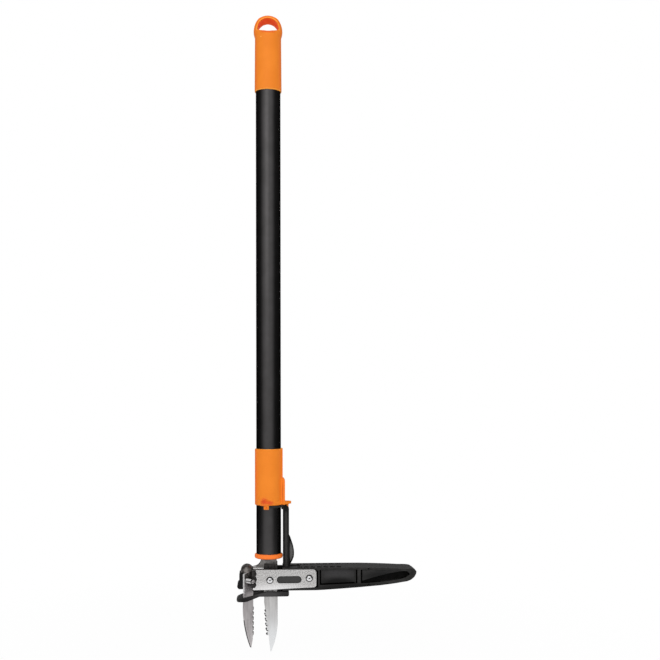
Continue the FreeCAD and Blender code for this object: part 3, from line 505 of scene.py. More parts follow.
def makeGrip(s):
    r, top, far = s["radius"], s["arch"] + s["loopRise"], s["reach"]
    edge = [(r, s["base"]), (s["waist"], s["taperTop"])]
    edge += [(s["loopHalf"] - inward, s["arch"] - below) for inward, below in s["shoulder"]]
    grip = asObject(slabFrom(edge + halfRound(s["loopHalf"], s["loopRise"], s["arch"], 40)
                             + [(-x, h) for x, h in edge[::-1]], -r - 2, r + 2), "grip")
    half = [(r, s["base"] - 3), (s["waist"], s["taperTop"]), (s["headY"], s["holeFloor"] - 1),
            *s["sideTaper"], (s["loopTopY"], top + 3)]
    side = slabFrom([(-r, s["base"] - 3)] + half + [(-y, h) for y, h in half[:0:-1]], -far, far)
    rotate(side, math.pi / 2, "Z")
    combine(grip, asObject(side, "side"), "INTERSECT")
    # a round body that widens a little sideways at the loop
    column = turned([(0, s["base"]), (r, s["base"]), (s["waist"], s["taperTop"]), s["neck"],
                     (s["headRadius"], s["holeFloor"]), (s["headRadius"], top + 5), (0, top + 5)])
    for vert in column.verts:
        if vert.co.z > s["taperTop"] + 1:
            vert.co.x *= s["loopStretch"]
    combine(grip, asObject(column, "column"), "INTERSECT")
    dish = s["holeDish"]
    cut(grip, slabFrom([(-x, h) for x, h in dish] + [(0, s["holeFloor"])] + dish[::-1]
                       + halfRound(s["holeRadius"], s["holeRadius"], s["holeArch"], 32), -far, far))
    melt(grip, s["voxel"], 9)
    gateX, gateHeight, gateRadius = s["gate"]
    gateY = -math.sqrt(s["waist"] ** 2 - gateX ** 2) + s["gateSink"]
    gate = bmesh.new()
    bmesh.ops.create_uvsphere(gate, u_segments=16, v_segments=10, radius=gateRadius)
    move(gate, (gateX, gateY, gateHeight))
    add(grip, gate)
    cut(grip, ringFrom(0, s["bore"], s["base"] - 5, s["boreTop"]))
    finishPiece(grip, "gripCap", "orangeGrip", ["grip_cap"], edge=0)

    def fromHole(x, h):
        return math.hypot(x, h - s["holeArch"]) - s["holeRadius"]

    def onRim(x, y, h, normal):
        foot = h < s["base"] + 1.5 and normal.z < -0.1
        loop = h > s["holeFloor"] + 2 and s["rimFrom"] < fromHole(x, h) < s["rimTo"] and abs(y) > s["rimY"]
        return foot or loop or math.hypot(x - gateX, h - gateHeight) < gateRadius and y < 0

    def inHole(x, y, h, normal):
        return h > s["holeFloor"] + 0.4 and abs(normal.y) < 0.6 and fromHole(x, h) < 0.3 and abs(y) < 19

    # painted highlights: lighter orange on the foot's rim, round the loop's hole and on the gate mark;
    # painted shade inside the hole
    paintFaces(grip, "orangeRimHighlight", onRim)
    paintFaces(grip, "orangeShade", inHole)


makeGrip(gripSizes)
print("grip made")


sliderSizes = dict(radius=21.4, base=226.4, top=313.6, bore=19.6, ribX=21.9, ribY=7.5, ribRise=0.8,
                   bossX=25.4, bossY=10.2, bossTop=268.5, bossRound=5, bossEdge=3, flange=4.2, tip=35.2,
                   tipRadius=4.6, lipX=-5.5, lipRadius=10.2, lipY=14.6,
                   tilt=1.2, tiltFrom=-8, tiltOver=43, leftLift=0.16, leftFrom=-10,
                   tab=(-7.6, 0.4), tabOut=0.9, tabDrop=6.0, tabHoleDrop=3.4, tabHole=1.3,
                   tongue=(25.7, 31.0), tongueY=2.6, tongueDrop=6.6,
                   fairing=(-4.4, -13.5, 230), fairingSize=(14, 11.1, 11),
                   scoop=(-4.4, -25.6, 230.6), scoopSize=(10.6, 5.4, 9.2), rimDrop=1.2,
                   voxel=0.55)


# The foot flange: a round plate drawn out to a tip, tilted up a little towards it
def flangePlate(s):
    bm = bmesh.new()
    bmesh.ops.create_circle(bm, cap_ends=False, segments=64, radius=s["radius"])
    bmesh.ops.create_circle(bm, cap_ends=False, segments=24, radius=s["tipRadius"],
                            matrix=Matrix.Translation((s["tip"] - s["tipRadius"], 0, 0)))
    for y in (-s["lipY"], s["lipY"]):
        bmesh.ops.create_circle(bm, cap_ends=False, segments=40, radius=s["lipRadius"],
                                matrix=Matrix.Translation((s["lipX"], y, 0)))
    upper = bmesh.ops.duplicate(bm, geom=bm.verts[:])
    bmesh.ops.translate(bm, vec=(0, 0, s["flange"]), verts=vertsOf(upper["geom"]))
    hull = bmesh.ops.convex_hull(bm, input=bm.verts)
    spare = set(vertsOf(hull["geom_interior"] + hull["geom_unused"]))
    bmesh.ops.delete(bm, geom=list(spare), context="VERTS")
    for vert in bm.verts:
        tilted = s["tilt"] * (vert.co.x - s["tiltFrom"]) / s["tiltOver"]
        vert.co.z += s["base"] + tilted + s["leftLift"] * max(0, s["leftFrom"] - vert.co.x)
    bmesh.ops.recalc_face_normals(bm, faces=bm.faces)
    return bm


def makeSlider(s):
    base, top, r = s["base"], s["top"], s["radius"]
    slider = asObject(ringFrom(0, r, base, top, 128), "slider")
    add(slider, boxFrom((0, -s["ribY"], base), (s["ribX"], s["ribY"], top + s["ribRise"])))
    boss = slabFrom([(0, base), (s["bossX"], base), (s["bossX"], s["bossTop"], s["bossRound"]),
                     (0, s["bossTop"])], -s["bossY"], s["bossY"])
    add(slider, roundEdges(boss, s["bossEdge"], 4,
                           lambda a, b: min(a.x, b.x) > s["bossX"] - 0.01 and a.y == b.y))
    add(slider, flangePlate(s))
    # a fairing over the near lip, with a flat-floored scoop in it
    fairing = ballAt(s["fairing"], s["fairingSize"])
    for vert in fairing.verts:
        vert.co.z = max(vert.co.z, base + 1)
    add(slider, fairing)
    left, right = s["tab"]
    add(slider, boxFrom((left, -r - s["tabOut"], base - s["tabDrop"]), (right, -s["bore"], base + 4)))
    add(slider, boxFrom((s["tongue"][0], -s["tongueY"], base - s["tongueDrop"]),
                        (s["tongue"][1], s["tongueY"], base + 3)))
    hollow = ballAt(s["scoop"], s["scoopSize"])
    for vert in hollow.verts:
        vert.co.z = max(vert.co.z, s["scoop"][2])
    cut(slider, hollow)
    middle, holeAt = (left + right) / 2, base - s["tabHoleDrop"]
    cut(slider, rodBetween((middle, -r - 3, holeAt), (middle, -r + 0.6, holeAt), s["tabHole"]))
    melt(slider, s["voxel"], 5)
    cut(slider, ringFrom(0, s["bore"], base - 20, top + 20))
    finishPiece(slider, "sliderSleeve", "orangeSlider", ["slider_sleeve"], edge=0)
    # a painted highlight on the top rim and painted shade in the tab's hole
    paintFaces(slider, "orangeRimHighlight", lambda x, y, h, normal: h > top - s["rimDrop"] and normal.z > 0.15)
    paintFaces(slider, "orangeShade", lambda x, y, h, normal: y < -19
               and math.hypot(x - middle, h - holeAt) < s["tabHole"] + 0.2)


makeSlider(sliderSizes)
print("slider made")


rodSizes = dict(left=22.1, right=31.6, halfY=6, base=93.95, top=226, round=6.5, channel=(25, 29.2), web=2.2,
                channelSpan=(99, 216.5), finHalfY=4, finWeb=1.4,
                fin=[(31, 179.4), (33, 176.8), (35, 171.2), (38, 162), (39.2, 155.5), (39.5, 150.8),
                     (39, 144.8), (36.6, 139), (33.5, 133.4), (31, 130.4)],
                dent=[(32.4, 174.6), (33.5, 170.6), (36.5, 161.2), (37.7, 155), (38, 150.8), (37.5, 145.6),
                      (35.3, 140.2), (32.4, 135.4)],
                channelRound=1.5, hookRadius=22, bore=19.6, hookThick=3.3, hookLeft=-3,
                hookReach=40, boss=(14, 24.4), bossY=12, boreSpan=(100, 300))


def makeRod(s):
    rod = asObject(slabFrom([(s["left"], s["base"]), (s["right"], s["base"]),
                             (s["right"], s["top"], s["round"]), (s["left"], s["top"])],
                            -s["halfY"], s["halfY"]), "rod")
    fin = asObject(slabFrom(s["fin"], -s["finHalfY"], s["finHalfY"]), "fin")
    left, right = s["channel"]
    low, high = s["channelSpan"]
    channel = [(x, h, s["channelRound"]) for x, h in ((left, low), (right, low), (right, high), (left, high))]
    for way in (-1, 1):
        cut(fin, slabFrom(s["dent"], *sorted((way * s["finHalfY"] * 2, way * s["finWeb"]))))
        cut(rod, slabFrom(channel, *sorted((way * s["halfY"] * 2, way * s["web"]))))
    combine(rod, fin, "UNION")
    # the head hooks round the shaft under the slider's foot
    under = s["top"] - s["hookThick"]
    hook = asObject(ringFrom(s["bore"], s["hookRadius"], under, s["top"]), "hook")
    far = s["hookReach"]
    cut(hook, boxFrom((-far, -far, 0), (s["hookLeft"], far, far * 10)))
    combine(rod, hook, "UNION")
    left, right = s["boss"]
    head = asObject(boxFrom((left, -s["bossY"], under), (right, s["bossY"], s["top"])), "head")
    cut(head, ringFrom(0, s["bore"], *s["boreSpan"]))
    combine(rod, head, "UNION")
    finishPiece(rod, "ejectorRod", "rodPlastic", ["ejector_rod"], edge=0.5)
    # painted shade on the fin's rims
    paintFaces(rod, "hollowShadePlastic",
               lambda x, y, h, normal: x > s["right"] - 0.1 and abs(y) > s["finWeb"] + 0.2)


makeRod(rodSizes)
print("rod made")


plateSizes = dict(near=-22.6, inner=-20.1, edge=0.7, window=(12.3, 50.5, 106.9, 117.9),
                  outline=[(-23.6, 96.8, 0.6), (-4, 97), (25.5, 98.3), (48.7, 99.3), (73.5, 100.1, 4.5),
                           (73.5, 127.9, 5.5), (-20.6, 127.9, 2),
                           (-18.6, 122, 1), (-20.3, 118.2, 1), (-18.1, 112.8, 1), (-20.3, 108.8, 1),
                           (-18.7, 104.5, 1), (-21, 101, 1)])


def makeSidePlate(s, way, name, node):
    low, high = sorted((-way * s["near"], -way * s["inner"]))
    plate = asObject(slabFrom(s["outline"], low, high), "plate")
    left, right, base, top = s["window"]
    r = (top - base) / 2
    cut(plate, slabFrom([(left, base, r - 0.01), (right, base, r - 0.01), (right, top, r - 0.01),
                         (left, top, r - 0.01)], low - 2, high + 2, 12))
    # painted light low on the plate's face, and the bevels in bright steel as a painted highlight
    finishPiece(plate, name, "plateSteelLit", [node], edge=s["edge"], edgeSteps=3, edgeFinish="brightSteelAndHighlight")


makeSidePlate(plateSizes, -1, "sidePlateFar", "side_plate_far")
makeSidePlate(plateSizes, 1, "sidePlateNear", "side_plate_near")

boltSizes = dict(pivot=(1.7, 112, 4), pedal=(62.5, 114.3, 3), face=22.65, end=49.8, ring=4.6, socket=1.05,
                 head=[(0, 0.9), (1, 0.9), (1.1, 1.95), (2, 2.1), (3, 1.8), (3.8, 1.3), (4.4, 0.7),
                       (4.65, 0.25), (5.2, 0.25), (5.6, 0.2), (5.65, 0.02)])


# A domed head with a socket and a groove round it, on a shank that runs through to its nut
def makeBolt(s, place, name, node):
    x, height, shank = place
    profile = s["head"] + [(shank, 0.02), (shank, -s["end"]), (0, -s["end"])]
    bolt = asObject(turned(profile, (x, -s["face"], height), 64, alongY=True), name)
    finishPiece(bolt, name, "brightSteelAndHighlight", [node], edge=0.1)

    def isDark(px, y, h, normal):
        reach = math.hypot(px - x, h - height)
        return y < -22 and (reach > s["ring"] - 0.1 or reach < s["socket"])

    # painted shade in the groove round the head and in its socket
    paintFaces(bolt, "darkSteelAndShade", isDark)


makeBolt(boltSizes, boltSizes["pivot"], "pivotBolt", "pivot_bolt")
makeBolt(boltSizes, boltSizes["pedal"], "pedalBolt", "pedal_bolt")
print("plates made")


clawSizes = dict(
    fixed=dict(middle=(3.25, -13.61), along=(0.9613, -0.2756), half=10.5, darkAbove=127.2, finish="clawSteelLitTip",
               darkFrom=-1.2, tips=[(6.5, 27.7, 3.6), (5.4, 35.4, 3.3), (4.5, 43.1, 3), (3.7, 50.8, 2.8),
                                    (2.9, 58.5, 2.7)]),
    moving=dict(middle=(-32.24, -11.77), along=(-0.7431, -0.6691), half=9.3, darkAbove=106, finish="clawDim",
                darkFrom=-1.2, tips=[(1, 25.9, 2.3), (0.9, 33.6, 2.3), (0.9, 41.4, 2.3), (0.9, 49.1, 2.3),
                                     (0.9, 56.9, 2.3), (0.9, 64.6, 2.3)]),
    tooth=[(0.8, -2.8), (-0.6, -2.2), (-1, -0.9), (-1, 0.9), (-0.6, 1.4), (0.8, 1.9)], thick=1.2,
    toothReach=2.6, innerDark=52, edge=0.45, edgeTop=91, edgeWide=1.1, longFrom=30, longBy=1.055)


# The CAD blade with painted shade on the points of its teeth; the fixed blade's top is dark, while the moving
# one's top is painted shade with a painted highlight on its upper left edge
def makeClaw(shared, kind, way, name, node):
    s = shared[kind]
    bm = modelCopy(node)
    along = Vector((s["along"][0], way * s["along"][1], 0))
    middle = Vector((s["middle"][0], way * s["middle"][1], 0))
    band = s["half"] - shared["edgeWide"]
    splitAt(bm, (0, 0, s["darkAbove"]), up)
    if kind == "moving":
        splitAt(bm, (0, 0, shared["edgeTop"]), up)
        splitAt(bm, middle + along * band, along)
        for vert in bm.verts:
            if vert.co.z < shared["longFrom"]:
                vert.co.z = shared["longFrom"] + (vert.co.z - shared["longFrom"]) * shared["longBy"]
    claw = asObject(bm, name)
    across = Vector((-along.y, along.x, 0))
    axes = Matrix((along, across, Vector(up))).transposed().to_4x4()
    places = []
    for u, height, out in s["tips"]:
        place = middle + Vector((0, 0, height)) + along * (u - s["half"])
        places.append(place)
        tooth = slabFrom([(x if x > 0 else x * out, h) for x, h in shared["tooth"]],
                         -shared["thick"], shared["thick"])
        splitAt(tooth, (s["darkFrom"], 0, 0), (1, 0, 0))
        bmesh.ops.transform(tooth, matrix=Matrix.Translation(place) @ axes, verts=tooth.verts)
        add(claw, tooth)
    finishPiece(claw, name, s["finish"], [node], edge=shared["edge"], angle=50)

    def isDark(x, y, h, normal):
        if kind == "fixed" and h > s["darkAbove"]:
            return True
        if kind == "moving" and h < shared["innerDark"] and normal.dot(along) > 0.6:
            return True
        spot = Vector((x, y, h))
        return any(abs(h - place.z) < shared["toothReach"] and (spot - place).dot(along) < s["darkFrom"]
                   for place in places)

    def onEdge(x, y, h, normal):
        return h > shared["edgeTop"] and ((Vector((x, y, 0)) - middle).dot(along) > band or normal.z > 0.5)

    # painted shade on the tooth points; the fixed claw's top and the moving claw's lower left edge are dark;
    # the moving claw gets painted shade over its top and a painted highlight on its upper left edge and top
    # faces
    paintFaces(claw, "darkSteelAndShade", isDark)
    if kind == "moving":
        paintFaces(claw, "castSteelAndShade", lambda x, y, h, normal: h > s["darkAbove"])
        paintFaces(claw, "highlightSteel", onEdge)


for kind in ("fixed", "moving"):
    makeClaw(clawSizes, kind, 1, kind + "ClawNear", kind + "_claw_near")
    makeClaw(clawSizes, kind, -1, kind + "ClawFar", kind + "_claw_far")

pinSizes = dict(foot=(-34.4, -13.7, 110.4), out=(0.6691, -0.7431, 0), tail=-6.8, shank=2.5, sleeve=3.7,
                sleeveStart=1.4, sleeveEnd=13.4, head=3.7, headStart=13.5, headEnd=15.5,
                chamfer=0.7, socket=(1.2, 1.1, 0.9), brightRadius=2.9, bandNormal=0.16, bandHalf=3.5)


def makePins(s):
    bolts, sleeves = bmesh.new(), bmesh.new()
    wide, narrow, deep = s["socket"]
    for way in (1, -1):
        foot = Vector((s["foot"][0], way * s["foot"][1], s["foot"][2]))
        out = Vector((s["out"][0], way * s["out"][1], 0))
        turn = Vector(up).rotation_difference(out).to_matrix().to_4x4()
        for bm, profile in (
                (bolts, [(0, s["tail"]), (s["shank"], s["tail"]), (s["shank"], s["headStart"]),
                         (s["head"], s["headStart"]), (s["head"], s["headEnd"] - s["chamfer"]),
                         (s["head"] - s["chamfer"], s["headEnd"]), (wide, s["headEnd"]),
                         (narrow, s["headEnd"] - deep), (0, s["headEnd"] - deep)]),
                (sleeves, [(s["shank"] + 0.05, s["sleeveStart"]), (s["sleeve"], s["sleeveStart"]),
                           (s["sleeve"], s["sleeveEnd"]), (s["shank"] + 0.05, s["sleeveEnd"])])):
            part = turned(profile, steps=48)
            bmesh.ops.transform(part, matrix=Matrix.Translation(foot) @ turn, verts=part.verts)
            made = bpy.data.meshes.new("part")
            part.to_mesh(made)
            part.free()
            bm.from_mesh(made)
            bpy.data.meshes.remove(made)
    heads = finishPiece(asObject(bolts, "clawBolts"), "clawBolts", "darkSteelAndShade", ["claw_bolts"], edge=0.15)
    x, y, height = s["foot"]
    face = Vector((x, -y, height)) + s["headEnd"] * Vector((s["out"][0], -s["out"][1], 0))

    def onFace(x, y, h, normal):
        close = (Vector((x, abs(y), h)) - face).length < s["brightRadius"]
        return close and abs(y) > 20 and abs(normal.y) > 0.7

    paintFaces(heads, "clawDim", onFace)
    # the sleeves carry painted reflections: two light bands with dark lines along the top, middle and bottom
    bands = finishPiece(asObject(sleeves, "clawSleeves"), "clawSleeves", "highlightSteel", ["claw_sleeves"],
                        edge=0.15)
    paintFaces(bands, "darkSteelAndShade",
               lambda x, y, h, normal: abs(normal.z) < s["bandNormal"] or abs(h - height) > s["bandHalf"])


makePins(pinSizes)
print("claws made")


ejectorSizes = dict(left=-50, right=31.3,
                    outline=[(31.3, 86.6, 2.4), (31.3, 93.8, 2.4), (-2.7, 93.8), (-50, 82, 2.4),
                             (-50, 76.8, 2.4), (-33.6, 79), (-14.4, 86.6)],
                    halfY=22.5, leftRound=17.5, rightRound=4, screw=(26.8, 2.02, 3.7, 2.2, 80),
                    slot=[(-26.1, -3.35), (-41.3, -17), (-38.4, -20.2), (-13.1, -20.2), (2.2, -6.55),
                          (-0.8, -3.35)],
                    fixedSlot=(3.25, -13.61, 16, 11.4, 2.15), under=86.6, span=(60, 110), edge=1.0)


# A flat plate with a sloping arm; slots let the claws through, with a bridge in front of each
def makeEjectorPlate(s):
    y = s["halfY"]
    plate = asObject(slabFrom(s["outline"], -y, y), "ejectorPlate")
    low, high = s["span"]
    plan = [(s["left"], -y, s["leftRound"]), (s["right"], -y, s["rightRound"]),
            (s["right"], y, s["rightRound"]), (s["left"], y, s["leftRound"])]
    combine(plate, asObject(columnFrom(plan, low, high), "plan"), "INTERSECT")
    for way in (1, -1):
        cut(plate, columnFrom([(x, way * py) for x, py in s["slot"]], low, high))
        x, py, toe, half, thick = s["fixedSlot"]
        slot = boxFrom((-half, -thick, low), (half, thick, high))
        rotate(slot, math.radians(-toe * way), "Z")
        move(slot, (x, way * py, 0))
        cut(plate, slot)
    x, shank, head, sink, below = s["screw"]
    cut(plate, rodBetween((x, 0, below), (x, 0, high), shank))
    cut(plate, rodBetween((x, 0, below), (x, 0, s["under"] + sink), head))
    # its bevels get the lighter black as a painted highlight
    finishPiece(plate, "ejectorPlate", "armPlastic", ["ejector_plate"], edge=s["edge"], edgeSteps=3,
                edgeFinish="edgeHighlightPlastic")


makeEjectorPlate(ejectorSizes)
print("ejector plate made")


pedalSizes = dict(
    halfY=23, nose=20, tip=232, span=(60, 160), edge=0.9,
    outline=[(21.5, 95.8), (73.5, 95.8), (83, 96.1), (95.3, 96.8), (110.8, 97.7), (126.2, 98.7),
             (141.7, 99.7), (157.2, 101), (172.7, 102.2), (188.2, 104), (197.6, 105.2), (203.9, 106.3),
             (214.7, 107.9), (221, 109.9), (226.5, 113), (230.6, 117), (231.9, 119.8), (230, 122), (226, 125),
             (222, 127), (216, 127.3), (205, 127.4), (190, 128.3), (175, 129), (160, 129.6), (142, 130.1),
             (110, 130.3), (21.5, 130.3)],
    recess=[(10, 97.5), (48.7, 99.1), (76.3, 100.1, 4.5), (76.3, 128.3, 5), (10, 128.3)], recessY=-20.05,
    gap=[(73.7, 100), (76.3, 100), (76.3, 125.5), (73.7, 125.5)], gapY=-17,
    fork=(49, 7.2, 80, 140), ear=(12.5, 21.6, 98.3, 127.9, -20, -18.3), boltHole=(62.5, 114.3, 3.05, 30),
    ridge=(133.1, 134.5, 106.5, 127.2, -21.4),
    inner=[(78.4, 103.6, 1.5), (137, 105.6, 1.5), (137, 127.2, 1.5), (78.4, 127.2, 1.5)],
    innerWeb=[(80.9, 105.7, 1), (133.3, 107.6, 1), (133.3, 127.5), (80.9, 127.5)],
    outer=[(142.2, 105.6, 1.5), (157, 106.2), (172.7, 107.4), (190, 109.3), (203, 111.4), (213, 114.2),
           (219.5, 118.4, 1.5), (215, 123.5, 1.5), (200, 124.6), (180, 125.8), (160, 126.7),
           (142.2, 127.1, 1.5)],
    outerWeb=[(144.9, 109.2, 1), (165, 115), (185, 119.8), (200, 122.4), (213, 124), (200, 125),
              (180, 126.2), (160, 127.1), (144.9, 127.5)],
    pocketDepth=8.5, webY=-20.4, outerWebY=-20.2, top=130.3,
    treads=7, treadFirst=48, treadPitch=10.1, treadWidth=3.4, treadBase=129.6, treadRise=0.5,
    treadTaper=0.35, treadHalfY=9.5,
    pit=(3.6, 1.2, -19.5, -9.5, 1.6, 131), dimples=[(154.5, 127.6), (154.5, 103.4)], dimpleRadius=1.6,
    dimpleDepth=0.8, darkPocket=((77.5, 14.3, 103.4), (222, 20.1, 127.4)), floorClimb=(0.12, 137),
    ceilingFall=(0.035, 140), darkPits=((44, 9.6, 128), (113, 19.4, 130.1)),
    darkGap=((73, 16.9, 0), (77, 20.4, 200)))


# Whether a place lies inside a box
def inside(spot, low, high):
    return all(a < value < b for a, value, b in zip(low, spot, high))


def makePedal(s):
    y, top = s["halfY"], s["top"]
    pocket = -y + s["pocketDepth"]
    pedal = asObject(slabFrom(s["outline"], -y, y), "pedal")
    start = s["tip"] - s["nose"]
    nose = [(start + s["nose"] * math.cos(math.radians(a)), y * math.sin(math.radians(a)))
            for a in range(-90, 91, 6)]
    combine(pedal, asObject(columnFrom([(0, -y)] + nose + [(0, y)], *s["span"]), "plan"), "INTERSECT")
    for way in (1, -1):
        def slab(corners, outer, inner):
            return slabFrom(corners, *sorted((way * outer, way * inner)))
        cut(pedal, slab(s["inner"], -y - 3, pocket))
        cut(pedal, slab(s["outer"], -y - 3, pocket))
        add(pedal, slab(s["innerWeb"], s["webY"], pocket + 1))
        add(pedal, slab(s["outerWeb"], s["outerWebY"], pocket + 1))
        left, right, low, high, outer = s["ridge"]
        add(pedal, slab([(left, low), (right, low), (right, high), (left, high)], outer, pocket + 1))
        cut(pedal, slab(s["recess"], -y - 3, s["recessY"]))
        cut(pedal, slab(s["gap"], -y, s["gapY"]))
        left, right, low, high, outer, inner = s["ear"]
        near, far = sorted((way * outer, way * inner))
        add(pedal, boxFrom((left, near, low), (right, far, high)))
        for x, height in s["dimples"]:
            cut(pedal, rodBetween((x, -way * (y + 2), height), (x, -way * (y - s["dimpleDepth"]), height),
                                  s["dimpleRadius"]))
        # pits at both ends of the treads
        wide, floor, outer, inner, deep, above = s["pit"]
        for n in range(s["treads"]):
            x = s["treadFirst"] + n * s["treadPitch"]
            cut(pedal, slab([(x - wide, top), (x - wide, above), (x + wide, above), (x + wide, top),
                             (x + floor, top - deep), (x - floor, top - deep)], outer, inner))
    for n in range(s["treads"]):
        x, half = s["treadFirst"] + n * s["treadPitch"], s["treadWidth"] / 2
        crown, crest = half * s["treadTaper"], top + s["treadRise"]
        add(pedal, slabFrom([(x - half, s["treadBase"]), (x + half, s["treadBase"]), (x + crown, crest),
                             (x - crown, crest)], -s["treadHalfY"], s["treadHalfY"]))
    right, half, low, high = s["fork"]
    cut(pedal, boxFrom((0, -half, low), (right, half, high)))
    x, height, radius, reach = s["boltHole"]
    cut(pedal, rodBetween((x, -reach, height), (x, reach, height), radius))
    # its bevels get the lighter black as a painted highlight
    finishPiece(pedal, "pedalBody", "pedalPlastic", ["pedal_body"], edge=s["edge"], edgeSteps=3, angle=40,
                edgeFinish="edgeHighlightPlastic")

    # painted shade: grooves, pocket floors, pits, dimples and the gap beside the plate get a darker, duller
    # black
    def hollow(x, y, h, normal):
        spot = (x, abs(y), h)
        (left, shallow, floor), (right, deep, ceiling) = s["darkPocket"]
        climb, climbFrom = s["floorClimb"]
        fall, fallFrom = s["ceilingFall"]
        floor += climb * max(0, x - climbFrom)
        ceiling -= fall * max(0, x - fallFrom)
        fromDimple = min(math.hypot(x - px, h - ph) for px, ph in s["dimples"])
        return (inside(spot, (left, shallow, floor), (right, deep, ceiling)) or inside(spot, *s["darkPits"])
                or inside(spot, *s["darkGap"]) or abs(y) > 22 and fromDimple < s["dimpleRadius"] + 0.1)

    paintFaces(pedal, "hollowShadePlastic", hollow)


makePedal(pedalSizes)
print("pedal made")

holderSizes = dict(lobe=(-34, 5, 124), lobeSize=(9.6, 9, 9.6), gusset=((-26, 14.6, 99.5), (-18.6, 19.4, 127)),
                   edge=0.8)


# The block at the frame's left end, with a rounded lobe over each moving claw and a filler beside the plate,
# painted in shade
def makeHolder(s):
    holder = asObject(modelCopy("claw_holder"), "holder")
    for way in (1, -1):
        x, y, height = s["lobe"]
        add(holder, ballAt((x, -way * y, height), s["lobeSize"]))
        low, high = s["gusset"]
        near, far = sorted((-way * low[1], -way * high[1]))
        add(holder, boxFrom((low[0], near, low[2]), (high[0], far, high[2])))
    finishPiece(holder, "clawHolder", "castSteelAndShade", ["claw_holder"], edge=s["edge"], edgeSteps=3)
    # painted shade on the filler and the holder's faces beside it
    paintFaces(holder, "darkSteelAndShade", lambda x, y, h, normal: x > low[0] - 0.5 and h < high[2])


makeHolder(holderSizes)

# the plainer steel and plastic pieces keep the CAD shape, with softer edges
softCopies = {
    "tang_plate_near": ("tangSteel", 0.5), "tang_plate_far": ("tangSteel", 0.5),
    # the stop plate takes the light steel as a painted highlight
    "stop_plate": ("highlightSteel", 0.4), "claw_wedge_near": ("tangSteel", 0.3),
    "claw_wedge_far": ("tangSteel", 0.3), "claw_rivets": ("brightSteelAndHighlight", 0.3),
    "pivot_bushing": ("tangSteel", 0.3), "pivot_nut": ("brightSteelAndHighlight", 0.5), "pedal_nut": ("brightSteelAndHighlight", 0.5),
    "claw_pad_near": ("padPlastic", 0.7), "claw_pad_far": ("padPlastic", 0.7),
}
for node, (finish, edge) in softCopies.items():
    finishPiece(asObject(modelCopy(node), node), node + "_soft", finish, [node], edge=edge, edgeSteps=3)

# the hidden and tiny parts keep their CAD mesh
keptFinishes = {
    "shaft_plug": "blackPlastic", "shaft_pin": "tangSteel", "slider_liner": "blackPlastic",
    "rod_screws": "darkSteelAndShade", "ejector_screw": "brightSteelAndHighlight", "claw_nuts": "tangSteel",
}
for node, finish in keptFinishes.items():
    kept = frame["nodes"][node]
    kept.data.materials.clear()
    kept.data.materials.append(materials[finish])
print("head made")


studio = dict(focal=57.27, distance=1.643, cameraHeight=407, turn=3.351, roll=-0.08, upShift=0.0889)


def makeCamera(s):
    data = bpy.data.cameras.new("camera")
    data.sensor_width = 36
    data.lens = s["focal"]
    data.shift_y = s["upShift"]
    data.clip_start = 0.01
    data.clip_end = 100
    camera = bpy.data.objects.new("camera", data)
    camera.location = (0, -s["distance"], (s["cameraHeight"] - holeHeight) * millimetre)
    aim = (Matrix.Rotation(math.radians(-s["turn"]), 3, "Z") @ Matrix.Rotation(math.pi / 2, 3, "X")
           @ Matrix.Rotation(math.radians(s["roll"]), 3, "Z"))
    camera.rotation_euler = aim.to_euler()
    scene.collection.objects.link(camera)
    scene.camera = camera


makeCamera(studio)


lampSizes = dict(place=(-0.55, -2.3, 0.45), aim=(0, 0, -0.5), wide=1.3, tall=1.5, watts=4.5)


def makeLamp(s):
    data = bpy.data.lights.new("keyLamp", "AREA")
    data.energy = s["watts"]
    data.shape = "RECTANGLE"
    data.size = s["wide"]
    data.size_y = s["tall"]
    lamp = bpy.data.objects.new("keyLamp", data)
    lamp.location = s["place"]
    lamp.rotation_euler = (Vector(s["aim"]) - Vector(s["place"])).to_track_quat("-Z", "Y").to_euler()
    scene.collection.objects.link(lamp)


makeLamp(lampSizes)

studioLight = dict(front=(-0.1, -0.99, 0.08), soft=1.05, shine=1.0, fill=0.76, lowest=-0.25, highest=0.3,
                   lowShare=0.5, levels=[(0, 0.5), (0.1, 0.3), (0.3, 0.07), (0.68, 0.07), (0.8, 0.45),
                                         (0.91, 1), (1, 1)])


# White for the camera; for the object an even light and a wide bright front
def makeWorld(s):
    world = bpy.data.worlds.new("studio")
    scene.world = world
    world.use_nodes = True
    tree = world.node_tree
    nodes, links = tree.nodes, tree.links
    around = nodes.new("ShaderNodeTexCoord").outputs["Generated"]
    split = nodes.new("ShaderNodeSeparateXYZ")
    links.new(around, split.inputs[0])
    facing = vectorMath(tree, "DOT_PRODUCT", around, Vector(s["front"]).normalized())
    ramp = nodes.new("ShaderNodeValToRGB")
    ramp.color_ramp.interpolation = "EASE"
    for place, level in s["levels"][1:-1]:
        ramp.color_ramp.elements.new(place)
    for element, (place, level) in zip(ramp.color_ramp.elements, s["levels"]):
        element.position = place
        element.color = (level, level, level, 1)
    links.new(mapRange(tree, facing, fromMin=-1), ramp.inputs["Fac"])
    height = mapRange(tree, split.outputs["Z"], s["lowest"], s["highest"], s["lowShare"])
    rays = nodes.new("ShaderNodeLightPath")
    glossy = rays.outputs["Is Glossy Ray"]
    sheen = mapRange(tree, glossy, toMin=s["soft"], toMax=s["shine"])
    plain = nodes["Background"]
    links.new(ramp.outputs["Color"], plain.inputs["Color"])
    links.new(mathOf(tree, "MULTIPLY", height, sheen), plain.inputs["Strength"])
    even = nodes.new("ShaderNodeBackground")
    links.new(mapRange(tree, glossy, toMin=s["fill"], toMax=0), even.inputs["Strength"])
    both = nodes.new("ShaderNodeAddShader")
    links.new(plain.outputs[0], both.inputs[0])
    links.new(even.outputs[0], both.inputs[1])
    white = nodes.new("ShaderNodeBackground")
    white.inputs["Color"].default_value = (1, 1, 1, 1)
    white.inputs["Strength"].default_value = 1
    seen = mathOf(tree, "MAXIMUM", rays.outputs["Is Camera Ray"], rays.outputs["Is Transmission Ray"])
    mixShaders(tree, seen, both, white, "World Output")


makeWorld(studioLight)


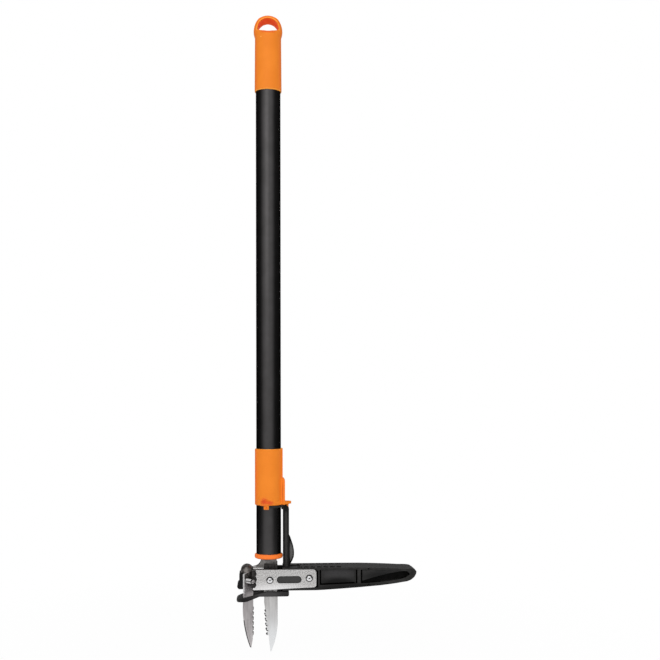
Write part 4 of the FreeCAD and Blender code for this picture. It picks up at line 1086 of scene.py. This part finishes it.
floorSizes = dict(radius=9, gap=0.0004, colour=0.86, whiteFrom=0.25, whiteTo=0.8, nearShare=0.965,
                  glowFrom=0.42, glowTo=0.78, glowFront=(-0.1, -0.99, 0), glowSide=0.5, glowCentre=0.97,
                  glowLow=0.02, glowHigh=0.68)


# A pale floor that is plain white to the camera away from the claws and keeps their shadow near them
def makeFloor(s):
    bm = bmesh.new()
    bmesh.ops.create_circle(bm, cap_ends=True, segments=96, radius=s["radius"])
    floor = asObject(bm, "floor")
    floor.data.transform(Matrix.Translation((0, 0, -holeHeight * millimetre - s["gap"])))
    material = bpy.data.materials.new("paleFloor")
    material.use_nodes = True
    tree = material.node_tree
    nodes, links = tree.nodes, tree.links
    shader = nodes["Principled BSDF"]
    shader.inputs["Base Color"].default_value = (s["colour"],) * 3 + (1,)
    shader.inputs["Roughness"].default_value = 0.9
    shader.inputs["Specular IOR Level"].default_value = 0
    where = nodes.new("ShaderNodeTexCoord").outputs["Object"]
    flat = vectorMath(tree, "MULTIPLY", where, (1, 1, 0))
    reach = vectorMath(tree, "LENGTH", flat)
    away = mapRange(tree, reach, s["whiteFrom"], s["whiteTo"], s["nearShare"], smooth=True)
    # shiny pieces see a bright floor close to the object and in front of it
    close = mapRange(tree, reach, s["glowFrom"], s["glowTo"], 1, 0, smooth=True)
    facing = vectorMath(tree, "DOT_PRODUCT", vectorMath(tree, "NORMALIZE", flat), s["glowFront"])
    ahead = mapRange(tree, facing, s["glowSide"], s["glowCentre"], s["glowLow"], s["glowHigh"], smooth=True)
    rays = nodes.new("ShaderNodeLightPath")
    glossy = rays.outputs["Is Glossy Ray"]
    bright = nodes.new("ShaderNodeMix")
    bright.inputs["A"].default_value = 1
    links.new(glossy, bright.inputs["Factor"])
    links.new(mathOf(tree, "MAXIMUM", close, ahead), bright.inputs["B"])
    glow = nodes.new("ShaderNodeEmission")
    links.new(bright.outputs["Result"], glow.inputs["Strength"])
    toCamera = mathOf(tree, "MULTIPLY", rays.outputs["Is Camera Ray"], away)
    mixShaders(tree, mathOf(tree, "MAXIMUM", toCamera, glossy), shader, glow, "Material Output")
    floor.data.materials.append(material)


makeFloor(floorSizes)
print("studio made")
